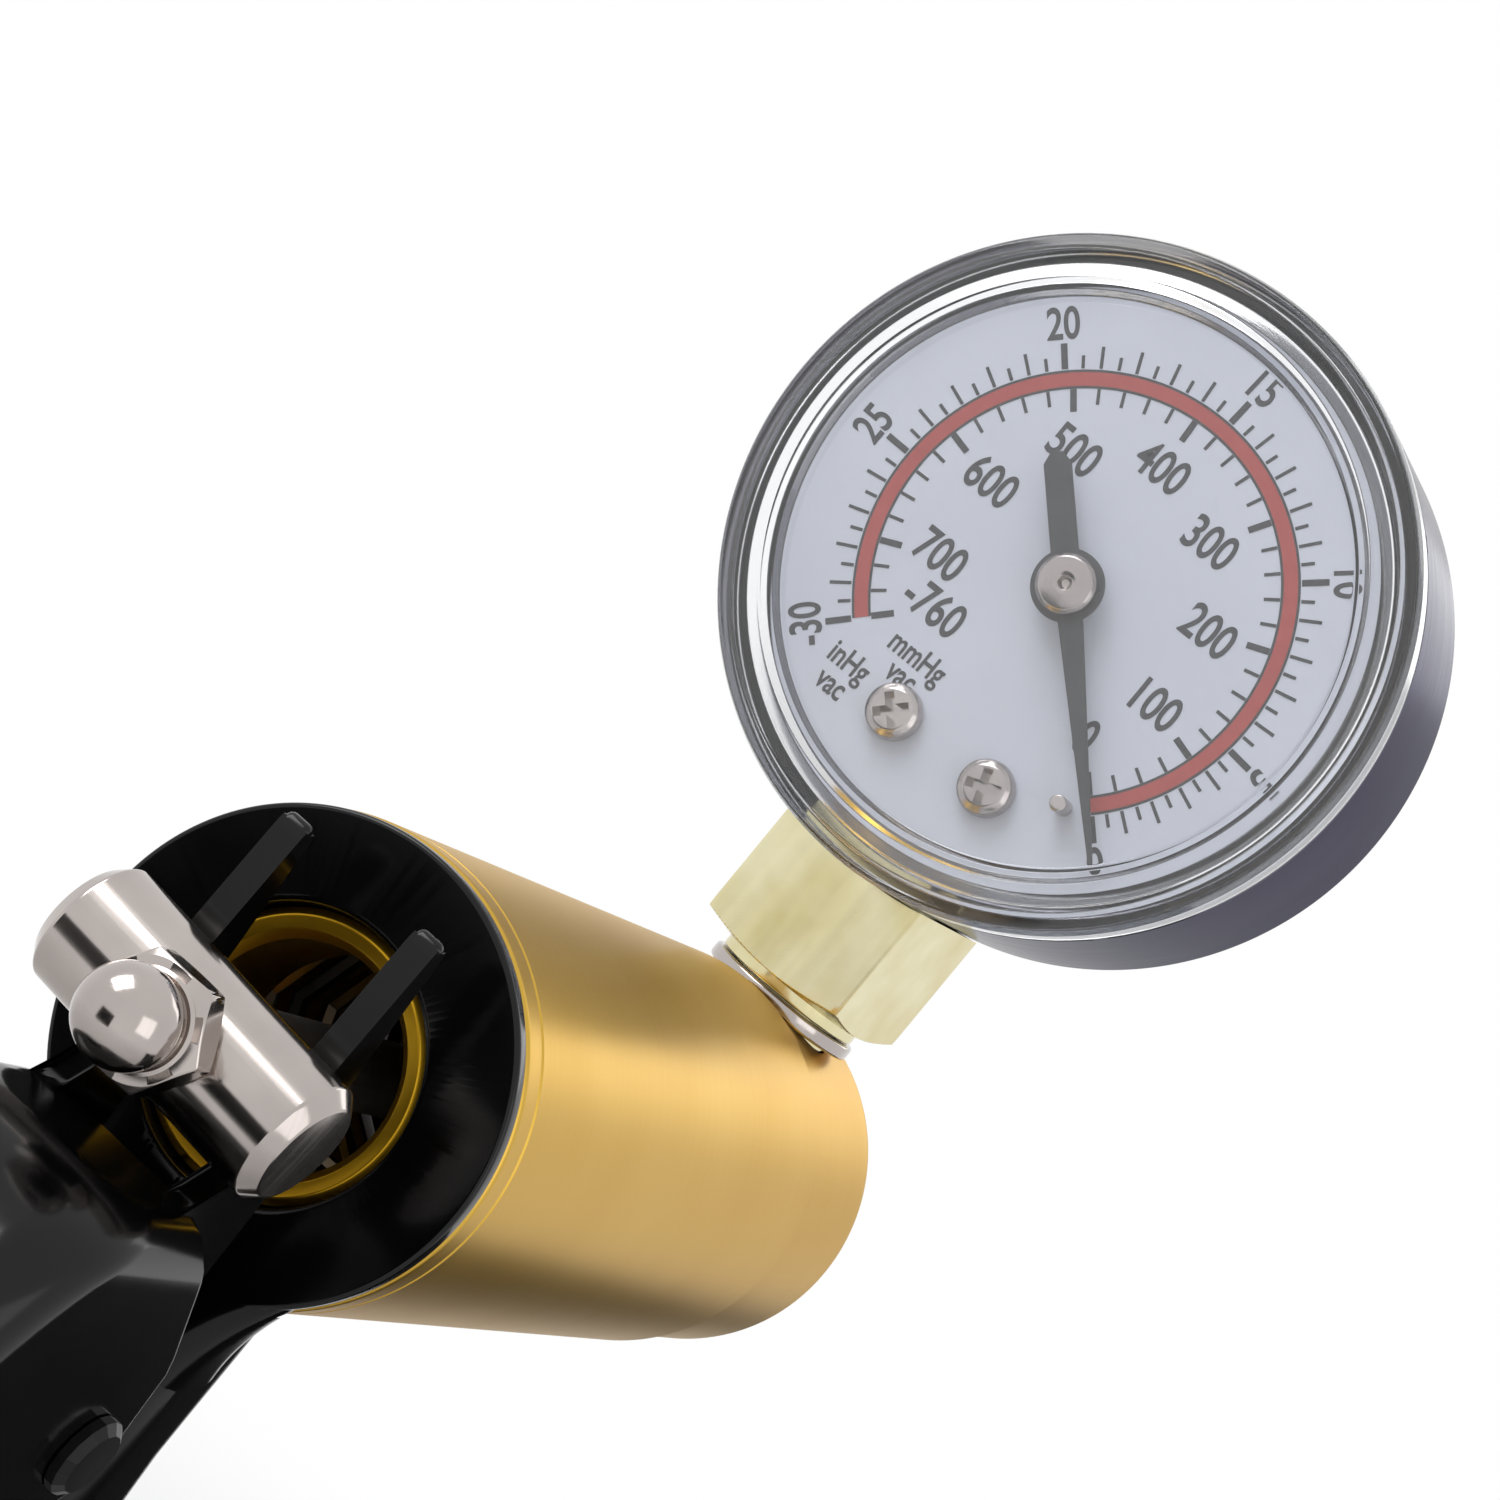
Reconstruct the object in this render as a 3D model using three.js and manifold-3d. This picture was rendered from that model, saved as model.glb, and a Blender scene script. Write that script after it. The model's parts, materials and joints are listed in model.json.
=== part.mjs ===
// Hand vacuum pump: a piston pump worked by a squeeze lever, with a dial vacuum gauge.
// Millimetres. +Z is up, towards the gauge. +Y is the hose end, -Y the lever.
// Pieces are drawn about the barrel axis, with y = 0 at the rear face of the collar,
// and the finished pump is then set with its origin under the middle of its box.
import * as THREE from "three";
import { mergeVertices } from "three/addons/utils/BufferGeometryUtils.js";
import Module from "manifold-3d";

const wasm = await Module();
wasm.setup();

// ---------------------------------------------------------------- driving dimensions

// Barrel and the head that closes its front end.
const BARREL_OD = 30;
const BARREL_WALL = 2;
const BARREL_LENGTH = 66.6;
const BARREL_EDGE = 0.5;
const HEAD_STEP = 0.55;
const HEAD_LENGTH = 18.6;
const HEAD_EDGE = 1.6;
const HEAD_PLUG_LENGTH = 5;
const HEAD_WEB = 1.5;
const HEAD_CHAMBER_D = 7;
const SPOT_FACE_DEPTH = 0.55;
const SPOT_FACE_D = 13.8;
const O_RING_SECTION = 1.4;

// Fixed handle, with the collar that closes the rear end of the barrel.
const COLLAR_THICK = 1.2;
const COLLAR_SHRINK = 0.1;
const COLLAR_BORE_D = 18;
const COLLAR_PLUG_LENGTH = 8;
const HANDLE_WIDTH = 14.8;
const HANDLE_DROP = 97;
const HANDLE_DEPTH = 21;
const HANDLE_LEAN = 9;
const HANDLE_ROUND = 4;
const NECK_DEPTH = 11;
const NECK_SPREAD = 10.5;
const NECK_SPREAD_LENGTH = 9.2;
const GUIDE_RING_BORE_D = 14;
const GUIDE_RING_RECESS = 1.1;
const GUIDE_RING_FLANGE = 1.6;

// Pivot, and the lever that turns on it.
const PIVOT_Y = -7;
const PIVOT_Z = -23;
const PIVOT_PIN_D = 3;
const PIVOT_LOBE_R = 5;
const TONGUE_WIDTH = 8;
const LEVER_WIDTH = 17;
const LEVER_WALL = 2.3;
const LEVER_SKIN = 2.6;
const PRONG_THICK = 1.9;
const PRONG_TIP_Z = 12.2;

// Piston rod and what is fixed to its rear end.
const ROD_D = 4.8;
const STUD_D = 4;
const CROSS_BAR_D = 8.4;
const CROSS_BAR_LENGTH = 19.6;
const CROSS_BAR_Y = -12.6;
const CROSS_BAR_TILT = 4;
const DOME_NUT_FLATS = 7.2;
const DOME_NUT_HEX = 2.4;
const DOME_D = 6.1;

// Piston, its seal, its valve and its spring.
const PISTON_FRONT_GAP = 1.6;
const PISTON_NUT_FLATS = 8;
const PISTON_NUT_THICK = 2.5;
const PISTON_WASHER_THICK = 1.2;
const PISTON_WASHER_GAP = 2;
const CUP_LENGTH = 3.6;
const CUP_WALL = 1.4;
const PISTON_DISC = 3.5;
const VALVE_DISC = 0.9;
const VALVE_LIFT = 0.8;
const SPRING_D = 18.4;
const SPRING_WIRE = 1.3;
const SPRING_TURNS = 7;

// Hose barb.
const PORT_THREAD_D = 9.8;
const BARB_FLATS = 11;
const BARB_HEX = 4.2;
const BARB_STEM_D = 5.4;
const BARB_TOOTH_D = 7.6;
const BARB_TEETH = 3;
const BARB_PITCH = 5;
const BARB_BORE_D = 3.2;

// Gauge: its case, window and dial. Depths are measured back from the stem axis.
const CASE_D = 52.35;
const CASE_WALL = 0.8;
const CASE_BACK = 9;
const CASE_MOUTH = 11.2;
const CASE_EDGE = 1.5;
const LENS_FACE = 15.3;
const LENS_THICK = 1.5;
const LENS_SINK = 1;
const LENS_RIM = 3.6;
const DIAL_FACE = 9.22;
const DIAL_THICK = 0.5;
const DIAL_SCREW_SPREAD = 9.2;
const DIAL_SCREW_DROP = 15.3;
const DIAL_SCREW_HEAD_D = 4.4;
const DIAL_SCREW_HEAD = 1.5;
const DIAL_SCREW_D = 2;
const STOP_PIN_D = 1.3;
const STOP_PIN_TOP = 11.7;
const STOP_PIN_INSET = 4.9;
const STOP_PIN_ANGLE = -52;

// Gauge socket: the square below the case and the part that carries the works.
const BLOCK_WIDTH = 13.7;
const BLOCK_RISE = 10.15;
const BLOCK_TWIST = -5.7;
const BLOCK_CHAMFER = 30;
const REGISTER_D = 12.4;
const REGISTER_HEIGHT = 0.95;
const SEAL_WASHER_D = 13.2;
const SEAL_WASHER_THICK = 1.2;
const SOCKET_THREAD_LENGTH = 8;
const SOCKET_NECK = 11;
const SOCKET_HEAD_WIDTH = 13;
const SOCKET_HEAD_TOP = 12.5;
const SOCKET_HEAD_DEPTH = 6.1;

// Gauge works: plates, gears, hairspring, pressure tube and pointer.
const PLATE_THICK = 0.8;
const PLATE_SPACING = 5;
const PLATE_HALF_WIDTH = 4.7;
const PLATE_TOP = 4.6;
const PLATE_SCREW_PITCH = 3.6;
const PILLAR_D = 1.8;
const GEAR_MODULE = 0.3;
const PINION_TEETH = 8;
const SECTOR_TEETH_PER_TURN = 60;
const SECTOR_TRAVEL = 36;
const SECTOR_THICK = 0.8;
const TAIL_LENGTH = 4;
const ARBOR_D = 1.2;
const HAIRSPRING_TURNS = 3.5;
const TUBE_INSET = 6.85;
const TUBE_DEPTH = 6.6;
const TUBE_THICK = 2;
const TUBE_END_GAP = 1.809;
const POINTER_TIP_GAP = 2.575;
const POINTER_TAIL = 10.15;
const POINTER_HUB_D = 5.6;
const POINTER_THICK = 0.3;
const POINTER_ZERO = -45;
const POINTER_CAP_D = 4.6;

// Clearances.
const FIT = 0.2;
const RUN = 0.15;
const SEAT = 0.1;
const OPEN = 0.3;

// Facets round a full turn.
const COARSE = 8;
const MEDIUM = 16;
const ROUND = 32;
const FINE = 40;

// ---------------------------------------------------------------- derived places

const DEG = Math.PI / 180;

const barrelR = BARREL_OD / 2;
const boreR = barrelR - BARREL_WALL;
const barrelRearY = COLLAR_THICK + SEAT;
const barrelFrontY = barrelRearY + BARREL_LENGTH;
const collarR = barrelR - COLLAR_SHRINK;
const collarBoreR = COLLAR_BORE_D / 2;
const plugR = boreR - FIT;
const guideRingFrontY = COLLAR_THICK + COLLAR_PLUG_LENGTH + SEAT;

const headR = barrelR - HEAD_STEP;
const headRearY = barrelFrontY + SEAT;
const headFrontY = headRearY + HEAD_LENGTH;
const headPlugY = headRearY - HEAD_PLUG_LENGTH;
const stemY = headRearY + HEAD_LENGTH / 2;
const spotZ = headR - SPOT_FACE_DEPTH;
const portR = PORT_THREAD_D / 2 + FIT;
const portFloorZ = portR + 1.1;
const frontPortY = stemY + 1.3;
const chamberR = HEAD_CHAMBER_D / 2;
const chamberRearY = headPlugY + HEAD_WEB;

const crossBarR = CROSS_BAR_D / 2;
const prongRearY = CROSS_BAR_Y + crossBarR + OPEN;
const prongInner = TONGUE_WIDTH / 2 + 0.4;
const prongOuter = prongInner + PRONG_THICK;
const shoulderZ = -crossBarR - 3.4;

const rodR = ROD_D / 2;
const studR = STUD_D / 2;
const inletValveY = headPlugY - SEAT - VALVE_DISC;
const pistonNutFrontY = inletValveY - PISTON_FRONT_GAP;
const pistonNutY = pistonNutFrontY - PISTON_NUT_THICK;
const pistonWasherY = pistonNutY - SEAT - PISTON_WASHER_THICK;
const cupY = pistonWasherY - SEAT - CUP_LENGTH;
const pistonDiscY = cupY - SEAT - PISTON_DISC;
const exhaustValveY = pistonDiscY - SEAT - VALVE_DISC;
const valveClipY = exhaustValveY - VALVE_LIFT - OPEN;
const pistonHoleRadius = rodR + 2.4;
const pistonBossR = pistonHoleRadius + 1.7;

const washerZ = spotZ + SEAT;
const registerZ = washerZ + SEAL_WASHER_THICK + SEAT;
const blockZ = registerZ + REGISTER_HEIGHT;
const caseR = CASE_D / 2;
const gaugeZ = blockZ + BLOCK_RISE + caseR;
const caseInnerR = caseR - CASE_WALL;
const lensSkirtR = caseInnerR - FIT;
const lensSkirtInnerR = lensSkirtR - 1.1;
const dialR = lensSkirtInnerR - FIT * 2;
const pointerLength = dialR - POINTER_TIP_GAP;
const stopPinRadius = pointerLength - STOP_PIN_INSET;
const dialBackY = -DIAL_FACE + DIAL_THICK;

const backPlateY = -0.65 - PLATE_THICK;
const frontPlateY = backPlateY - PLATE_SPACING - PLATE_THICK;
const socketHeadLow = 0.2 - Math.sqrt((caseInnerR - OPEN) ** 2 - (SOCKET_HEAD_WIDTH / 2) ** 2);
const socketFrontY = backPlateY + PLATE_THICK + SEAT / 2;
const socketBackY = socketFrontY + SOCKET_HEAD_DEPTH;
const sectorY = backPlateY - 3.1;
const linkY = sectorY + SECTOR_THICK + FIT;
const pinionPitchR = (GEAR_MODULE * PINION_TEETH) / 2;
const sectorPitchR = (GEAR_MODULE * SECTOR_TEETH_PER_TURN) / 2;
const sectorPivotZ = -(pinionPitchR + sectorPitchR + 0.05);
const toothHalf = GEAR_MODULE * 0.58;
const toothTop = GEAR_MODULE * 0.66;
const toothFoot = GEAR_MODULE * 1.45;
const tubeR = caseInnerR - TUBE_INSET;
const tubeY = (socketFrontY + socketBackY) / 2;
const tipX = Math.sqrt(tubeR ** 2 - sectorPivotZ ** 2);
const tipAngle = Math.atan2(sectorPivotZ, tipX) / DEG;
const tubeEndAngle = tipAngle + TUBE_END_GAP / tubeR / DEG;
const pointerY = -DIAL_FACE - 2.2;
const arborR = ARBOR_D / 2;
const collarOfArborR = arborR + 0.5;

// ---------------------------------------------------------------- finishes

const finish = (color, roughness, metalness) => ({ color, roughness, metalness });
const GOLD = finish(0xb8944a, 0.32, 1);
const BLACK = finish(0x111113, 0.25, 0);
const CHROME = finish(0xb9b6bb, 0.12, 1);
const NICKEL = finish(0xb5abaa, 0.22, 1);
const BRASS = finish(0xd5cb98, 0.25, 1);
const STEEL = finish(0xa9a9ac, 0.35, 1);
const RUBBER = finish(0x1b1b1c, 0.7, 0);
const CLEAR = finish(0xdfe3e8, 0.05, 0);
const WHITE = finish(0xd0d2da, 0.5, 0);
const DARK = finish(0x3c3c3c, 0.45, 0);

// ---------------------------------------------------------------- shape helpers

// A closed three.js geometry as a solid with its faces outwards.
function solid(geometry) {
  const bare = geometry.index ? geometry.toNonIndexed() : geometry.clone();
  bare.deleteAttribute("normal");
  bare.deleteAttribute("uv");
  const merged = mergeVertices(bare, 1e-4);
  const index = merged.index.array;
  const corners = [];
  for (let i = 0; i < index.length; i += 3) {
    const [a, b, c] = [index[i], index[i + 1], index[i + 2]];
    if (a !== b && b !== c && c !== a) corners.push(a, b, c);
  }
  const build = (triVerts) =>
    new wasm.Manifold(
      new wasm.Mesh({
        numProp: 3,
        vertProperties: merged.attributes.position.array,
        triVerts: new Uint32Array(triVerts),
      }),
    );
  const made = build(corners);
  return made.volume() > 0 ? made : build(corners.reverse());
}

// The solid's own triangles as a three.js geometry.
function geometryOf(shape) {
  const mesh = shape.getMesh();
  const points = new Float32Array(mesh.numVert * 3);
  for (let i = 0; i < mesh.numVert; i += 1) {
    for (let k = 0; k < 3; k += 1) points[3 * i + k] = mesh.vertProperties[mesh.numProp * i + k];
  }
  const geometry = new THREE.BufferGeometry();
  geometry.setAttribute("position", new THREE.BufferAttribute(points, 3));
  geometry.setIndex(new THREE.BufferAttribute(new Uint32Array(mesh.triVerts), 1));
  return geometry;
}

const join = (...shapes) => shapes.reduce((all, next) => all.add(next));
const cut = (shape, ...tools) => tools.reduce((left, tool) => left.subtract(tool), shape);

// A half section of [radius, height] corners turned about Y, Z or X.
function turned(corners, sides, axis = "y") {
  const outline = corners.map(([r, h]) => new THREE.Vector2(r, h));
  outline.push(outline[0].clone());
  const geometry = new THREE.LatheGeometry(outline, sides);
  if (axis === "z") geometry.rotateX(Math.PI / 2);
  if (axis === "x") geometry.rotateZ(-Math.PI / 2);
  return geometry;
}

// A plain rod and a plain tube between two heights on their axis.
const rodShape = (radius, from, to, sides, axis) =>
  turned([[0, from], [radius, from], [radius, to], [0, to]], sides, axis);
const tubeShape = (inner, outer, from, to, sides, axis) =>
  turned([[inner, from], [outer, from], [outer, to], [inner, to]], sides, axis);

// A box between two corners.
function box(low, high) {
  const size = high.map((value, i) => value - low[i]);
  const middle = high.map((value, i) => (value + low[i]) / 2);
  return new THREE.BoxGeometry(...size).translate(...middle);
}

const shapeOf = (corners) => new THREE.Shape(corners.map(([u, v]) => new THREE.Vector2(u, v)));

// An outline drawn in Y and Z, given its thickness along X.
function alongX(shape, from, to, round = 0, steps = 2) {
  const geometry = new THREE.ExtrudeGeometry(shape, {
    depth: to - from - 2 * round,
    bevelEnabled: round > 0,
    bevelThickness: round,
    bevelSize: round,
    bevelOffset: -round,
    bevelSegments: steps,
    curveSegments: 6,
  });
  const axes = new THREE.Matrix4().makeBasis(
    new THREE.Vector3(0, 1, 0),
    new THREE.Vector3(0, 0, 1),
    new THREE.Vector3(1, 0, 0),
  );
  return geometry.applyMatrix4(axes).translate(from + round, 0, 0);
}

// An outline drawn in X and Z, given its thickness along Y.
function alongY(shape, from, to, curveSegments = 6) {
  const geometry = new THREE.ExtrudeGeometry(shape, {
    depth: to - from,
    bevelEnabled: false,
    curveSegments,
  });
  return geometry.rotateX(Math.PI / 2).translate(0, to, 0);
}

// A regular hexagon by its width across flats.
function hexagon(flats) {
  const corner = flats / 2 / Math.cos(30 * DEG);
  const points = [];
  for (let i = 0; i < 6; i += 1) {
    points.push([corner * Math.cos(i * 60 * DEG), corner * Math.sin(i * 60 * DEG)]);
  }
  return shapeOf(points);
}

const polar = (radius, degrees) => [radius * Math.cos(degrees * DEG), radius * Math.sin(degrees * DEG)];

// A solid or geometry as one named node.
function node(name, shape, look) {
  const geometry = shape instanceof THREE.BufferGeometry ? geometryOf(solid(shape)) : geometryOf(shape);
  geometry.computeVertexNormals();
  const material = new THREE.MeshStandardMaterial(look);
  const mesh = new THREE.Mesh(geometry, material);
  mesh.name = name;
  return mesh;
}

function groupOf(...children) {
  const group = new THREE.Group();
  group.add(...children);
  return group;
}

// ---------------------------------------------------------------- barrel and head

function barrelTube() {
  const grooveY = barrelRearY + 2.4;
  return node(
    "barrel_tube",
    turned(
      [
        [boreR, barrelRearY],
        [barrelR - BARREL_EDGE, barrelRearY],
        [barrelR, barrelRearY + BARREL_EDGE],
        [barrelR, grooveY],
        [barrelR - 0.15, grooveY + 0.1],
        [barrelR - 0.15, grooveY + 0.4],
        [barrelR, grooveY + 0.5],
        [barrelR, barrelFrontY - 0.3],
        [barrelR - 0.3, barrelFrontY],
        [boreR, barrelFrontY],
      ],
      ROUND,
    ),
    GOLD,
  );
}

function frontHead() {
  const grooveFloor = plugR - O_RING_SECTION;
  const grooveY = (headPlugY + headRearY) / 2;
  const grooveHalf = O_RING_SECTION / 2 + SEAT;
  const edge = 0.4;
  const corners = [
    [0, headPlugY],
    [plugR, headPlugY],
    [plugR, grooveY - grooveHalf],
    [grooveFloor, grooveY - grooveHalf],
    [grooveFloor, grooveY + grooveHalf],
    [plugR, grooveY + grooveHalf],
    [plugR, headRearY],
    [headR - edge, headRearY],
    [headR, headRearY + edge],
    [headR, headFrontY - HEAD_EDGE],
    [headR - HEAD_EDGE * 0.3, headFrontY - HEAD_EDGE * 0.3],
    [headR - HEAD_EDGE, headFrontY],
    [0, headFrontY],
  ];
  const spotFace = rodShape(SPOT_FACE_D / 2, spotZ, barrelR + 1, MEDIUM, "z").translate(0, stemY, 0);
  const gaugePort = rodShape(portR, portFloorZ, barrelR, MEDIUM, "z").translate(0, stemY, 0);
  const gaugePassage = rodShape(1.5, 0, portFloorZ + 1, COARSE, "z").translate(0, stemY, 0);
  const chamber = rodShape(chamberR, chamberRearY, frontPortY + 1, MEDIUM);
  const frontPort = rodShape(portR, frontPortY, headFrontY + 1, MEDIUM);
  const stemHole = rodShape(1.2, headPlugY - 1, chamberRearY + 1, COARSE);
  const inletHoles = [45, 135, 225, 315].map((angle) => {
    const [x, z] = polar(2.5, angle);
    return solid(rodShape(0.7, headPlugY - 1, chamberRearY + 1, 8).translate(x, 0, z));
  });
  return node(
    "front_head",
    cut(
      solid(turned(corners, ROUND)),
      solid(spotFace),
      solid(gaugePort),
      solid(gaugePassage),
      solid(chamber),
      solid(frontPort),
      solid(stemHole),
      ...inletHoles,
    ),
    GOLD,
  );
}

function headORing() {
  const section = O_RING_SECTION / 2;
  const middleR = boreR - 0.08 - section;
  const corners = [];
  for (let i = 0; i < 8; i += 1) {
    const [r, y] = polar(section, 22.5 + i * 45);
    corners.push([middleR + r, (headPlugY + headRearY) / 2 + y]);
  }
  return node("head_o_ring", turned(corners, ROUND), RUBBER);
}

// A rubber umbrella valve: the disc covers the inlet holes and a bulb behind the web keeps it.
function inletValve() {
  const disc = inletValveY + VALVE_DISC;
  const bulb = chamberRearY + VALVE_LIFT + SEAT;
  return node(
    "inlet_valve",
    turned(
      [
        [0, inletValveY],
        [1.6, inletValveY],
        [4.6, inletValveY + VALVE_DISC * 0.45],
        [4.6, disc],
        [1, disc],
        [1, bulb],
        [1.6, bulb + 0.3],
        [1.6, bulb + 1],
        [0.7, bulb + 2],
        [0, bulb + 2],
      ],
      MEDIUM,
    ),
    RUBBER,
  );
}

function hoseBarb() {
  const threadR = PORT_THREAD_D / 2;
  const hexY = headFrontY + SEAT;
  const stemStart = hexY + BARB_HEX;
  const stemR = BARB_STEM_D / 2;
  const toothR = BARB_TOOTH_D / 2;
  const corners = [
    [0, frontPortY + 0.6],
    [threadR - 0.6, frontPortY + 0.6],
    [threadR, frontPortY + 1.2],
    [threadR, hexY - 0.8],
    [threadR - 0.6, hexY - 0.4],
    [threadR - 0.6, stemStart - 0.5],
    [stemR, stemStart - 0.5],
  ];
  const firstTooth = stemStart + 1.4;
  for (let i = 0; i < BARB_TEETH; i += 1) {
    const y = firstTooth + i * BARB_PITCH;
    corners.push([stemR, y], [toothR, y], [toothR, y + 0.4], [stemR, y + BARB_PITCH - 0.4]);
  }
  corners.push([0, firstTooth + BARB_TEETH * BARB_PITCH - 0.4]);
  const end = firstTooth + BARB_TEETH * BARB_PITCH;
  return node(
    "hose_barb",
    cut(
      join(
        solid(turned(corners, MEDIUM)),
        solid(alongY(hexagon(BARB_FLATS), hexY, stemStart)),
      ),
      solid(rodShape(BARB_BORE_D / 2, frontPortY, end, COARSE)),
    ),
    BRASS,
  );
}

// ---------------------------------------------------------------- fixed handle

// The handle seen from the side, with a neck that is thinner than the grip.
function gripOutline() {
  const top = -collarR + 2 * HANDLE_ROUND;
  const bottom = -HANDLE_DROP;
  const shape = new THREE.Shape();
  shape.moveTo(0, top);
  shape.lineTo(0, PIVOT_Z - 9);
  shape.lineTo(HANDLE_LEAN - 1, bottom + 6);
  shape.quadraticCurveTo(HANDLE_LEAN, bottom, HANDLE_LEAN + 6, bottom);
  shape.lineTo(HANDLE_LEAN + HANDLE_DEPTH - 6, bottom);
  shape.quadraticCurveTo(HANDLE_LEAN + HANDLE_DEPTH, bottom, HANDLE_LEAN + HANDLE_DEPTH, bottom + 6);
  shape.quadraticCurveTo(HANDLE_DEPTH + 6.5, bottom * 0.62, HANDLE_DEPTH - 2, bottom * 0.42);
  shape.quadraticCurveTo(NECK_DEPTH, bottom * 0.32, NECK_DEPTH, -barrelR - 8);
  shape.lineTo(NECK_DEPTH, top);
  shape.closePath();
  return shape;
}

// The neck spreads from the grip into the lower arc of the collar.
function neckSpread(grip) {
  const edge = -Math.sqrt((collarR - 0.2) ** 2 - NECK_SPREAD ** 2);
  const low = edge - NECK_SPREAD_LENGTH;
  const chord = solid(box([-NECK_SPREAD, 0, edge], [NECK_SPREAD, COLLAR_THICK, edge + 0.3]));
  const half = HANDLE_WIDTH / 2;
  const slice = grip.intersect(solid(box([-half, -1, low - 0.3], [half, NECK_DEPTH + 1, low])));
  return wasm.Manifold.hull([chord, slice]);
}

// The tongue behind the neck that carries the pivot pin between the lever's cheeks.
function tongueOutline() {
  const shape = new THREE.Shape();
  shape.moveTo(3, PIVOT_Z + PIVOT_LOBE_R + 3);
  shape.lineTo(0, PIVOT_Z + PIVOT_LOBE_R + 3);
  shape.lineTo(PIVOT_Y, PIVOT_Z + PIVOT_LOBE_R);
  shape.absarc(PIVOT_Y, PIVOT_Z, PIVOT_LOBE_R, Math.PI / 2, -Math.PI / 2, false);
  shape.lineTo(0, PIVOT_Z - PIVOT_LOBE_R - 4);
  shape.lineTo(3, PIVOT_Z - PIVOT_LOBE_R - 4);
  shape.closePath();
  return shape;
}

function fixedHandle() {
  const half = HANDLE_WIDTH / 2;
  const grip = solid(alongX(gripOutline(), -half, half, HANDLE_ROUND, 4));
  const barrelRoom = solid(rodShape(barrelR + OPEN, COLLAR_THICK, barrelFrontY, ROUND));
  const plate = solid(rodShape(collarR, 0, COLLAR_THICK, ROUND));
  const plug = solid(
    tubeShape(collarBoreR, plugR, COLLAR_THICK / 2, COLLAR_THICK + COLLAR_PLUG_LENGTH, ROUND),
  );
  const tongue = solid(alongX(tongueOutline(), -TONGUE_WIDTH / 2, TONGUE_WIDTH / 2));
  const bore = solid(rodShape(collarBoreR, -1, COLLAR_THICK + COLLAR_PLUG_LENGTH + 1, ROUND));
  const pinHole = rodShape(PIVOT_PIN_D / 2 + RUN, -half, half, MEDIUM, "x");
  return node(
    "fixed_handle",
    cut(
      join(cut(join(grip, neckSpread(grip), tongue), barrelRoom), plate, plug),
      bore,
      solid(pinHole.translate(0, PIVOT_Y, PIVOT_Z)),
    ),
    BLACK,
  );
}

// The gold ring inside the collar, whose front flange is the spring's seat.
function guideRing() {
  const inner = GUIDE_RING_BORE_D / 2;
  const outer = collarBoreR - RUN;
  return node(
    "guide_ring",
    turned(
      [
        [inner, GUIDE_RING_RECESS + 0.8],
        [inner + 0.6, GUIDE_RING_RECESS + 0.2],
        [outer - 0.5, GUIDE_RING_RECESS],
        [outer, GUIDE_RING_RECESS + 0.3],
        [outer, guideRingFrontY],
        [plugR, guideRingFrontY],
        [plugR, guideRingFrontY + GUIDE_RING_FLANGE],
        [inner, guideRingFrontY + GUIDE_RING_FLANGE],
      ],
      ROUND,
    ),
    GOLD,
  );
}

// ---------------------------------------------------------------- lever

// The lever's side: a shoulder under the cross bar, a long grip and a lobe round the pivot.
function leverOutline() {
  const reach = PIVOT_LOBE_R + 0.4;
  const shape = new THREE.Shape();
  shape.moveTo(PIVOT_Y - 3.5, shoulderZ);
  shape.lineTo(PIVOT_Y - 6, shoulderZ - 0.2);
  shape.quadraticCurveTo(PIVOT_Y - 22.5, PIVOT_Z + 18, PIVOT_Y - 27, PIVOT_Z - 10);
  shape.quadraticCurveTo(PIVOT_Y - 31, PIVOT_Z - 32, PIVOT_Y - 33, PIVOT_Z - 58);
  shape.quadraticCurveTo(PIVOT_Y - 33, PIVOT_Z - 63, PIVOT_Y - 28, PIVOT_Z - 63);
  shape.quadraticCurveTo(PIVOT_Y - 24, PIVOT_Z - 63, PIVOT_Y - 23.5, PIVOT_Z - 58);
  shape.quadraticCurveTo(PIVOT_Y - 21, PIVOT_Z - 30, PIVOT_Y - 14, PIVOT_Z - 15);
  shape.quadraticCurveTo(PIVOT_Y - 8, PIVOT_Z - 8, PIVOT_Y, PIVOT_Z - reach);
  shape.absarc(PIVOT_Y, PIVOT_Z, reach, -Math.PI / 2, 0, false);
  shape.lineTo(PIVOT_Y + reach - 1, PIVOT_Z + 6);
  shape.closePath();
  return shape;
}

// The hollow inside the lever, open to the front.
function leverHollow() {
  const skin = LEVER_SKIN;
  const shape = new THREE.Shape();
  shape.moveTo(PIVOT_Y + 12, shoulderZ - skin);
  shape.lineTo(PIVOT_Y - 6, shoulderZ - skin);
  shape.quadraticCurveTo(PIVOT_Y - 20.2, PIVOT_Z + 15.2, PIVOT_Y - 24.5, PIVOT_Z - 10);
  shape.quadraticCurveTo(PIVOT_Y - 28.4, PIVOT_Z - 32, PIVOT_Y - 30.4, PIVOT_Z - 58);
  shape.lineTo(PIVOT_Y - 29, PIVOT_Z - 60.4);
  shape.lineTo(PIVOT_Y + 12, PIVOT_Z - 60.4);
  shape.closePath();
  return shape;
}

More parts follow.
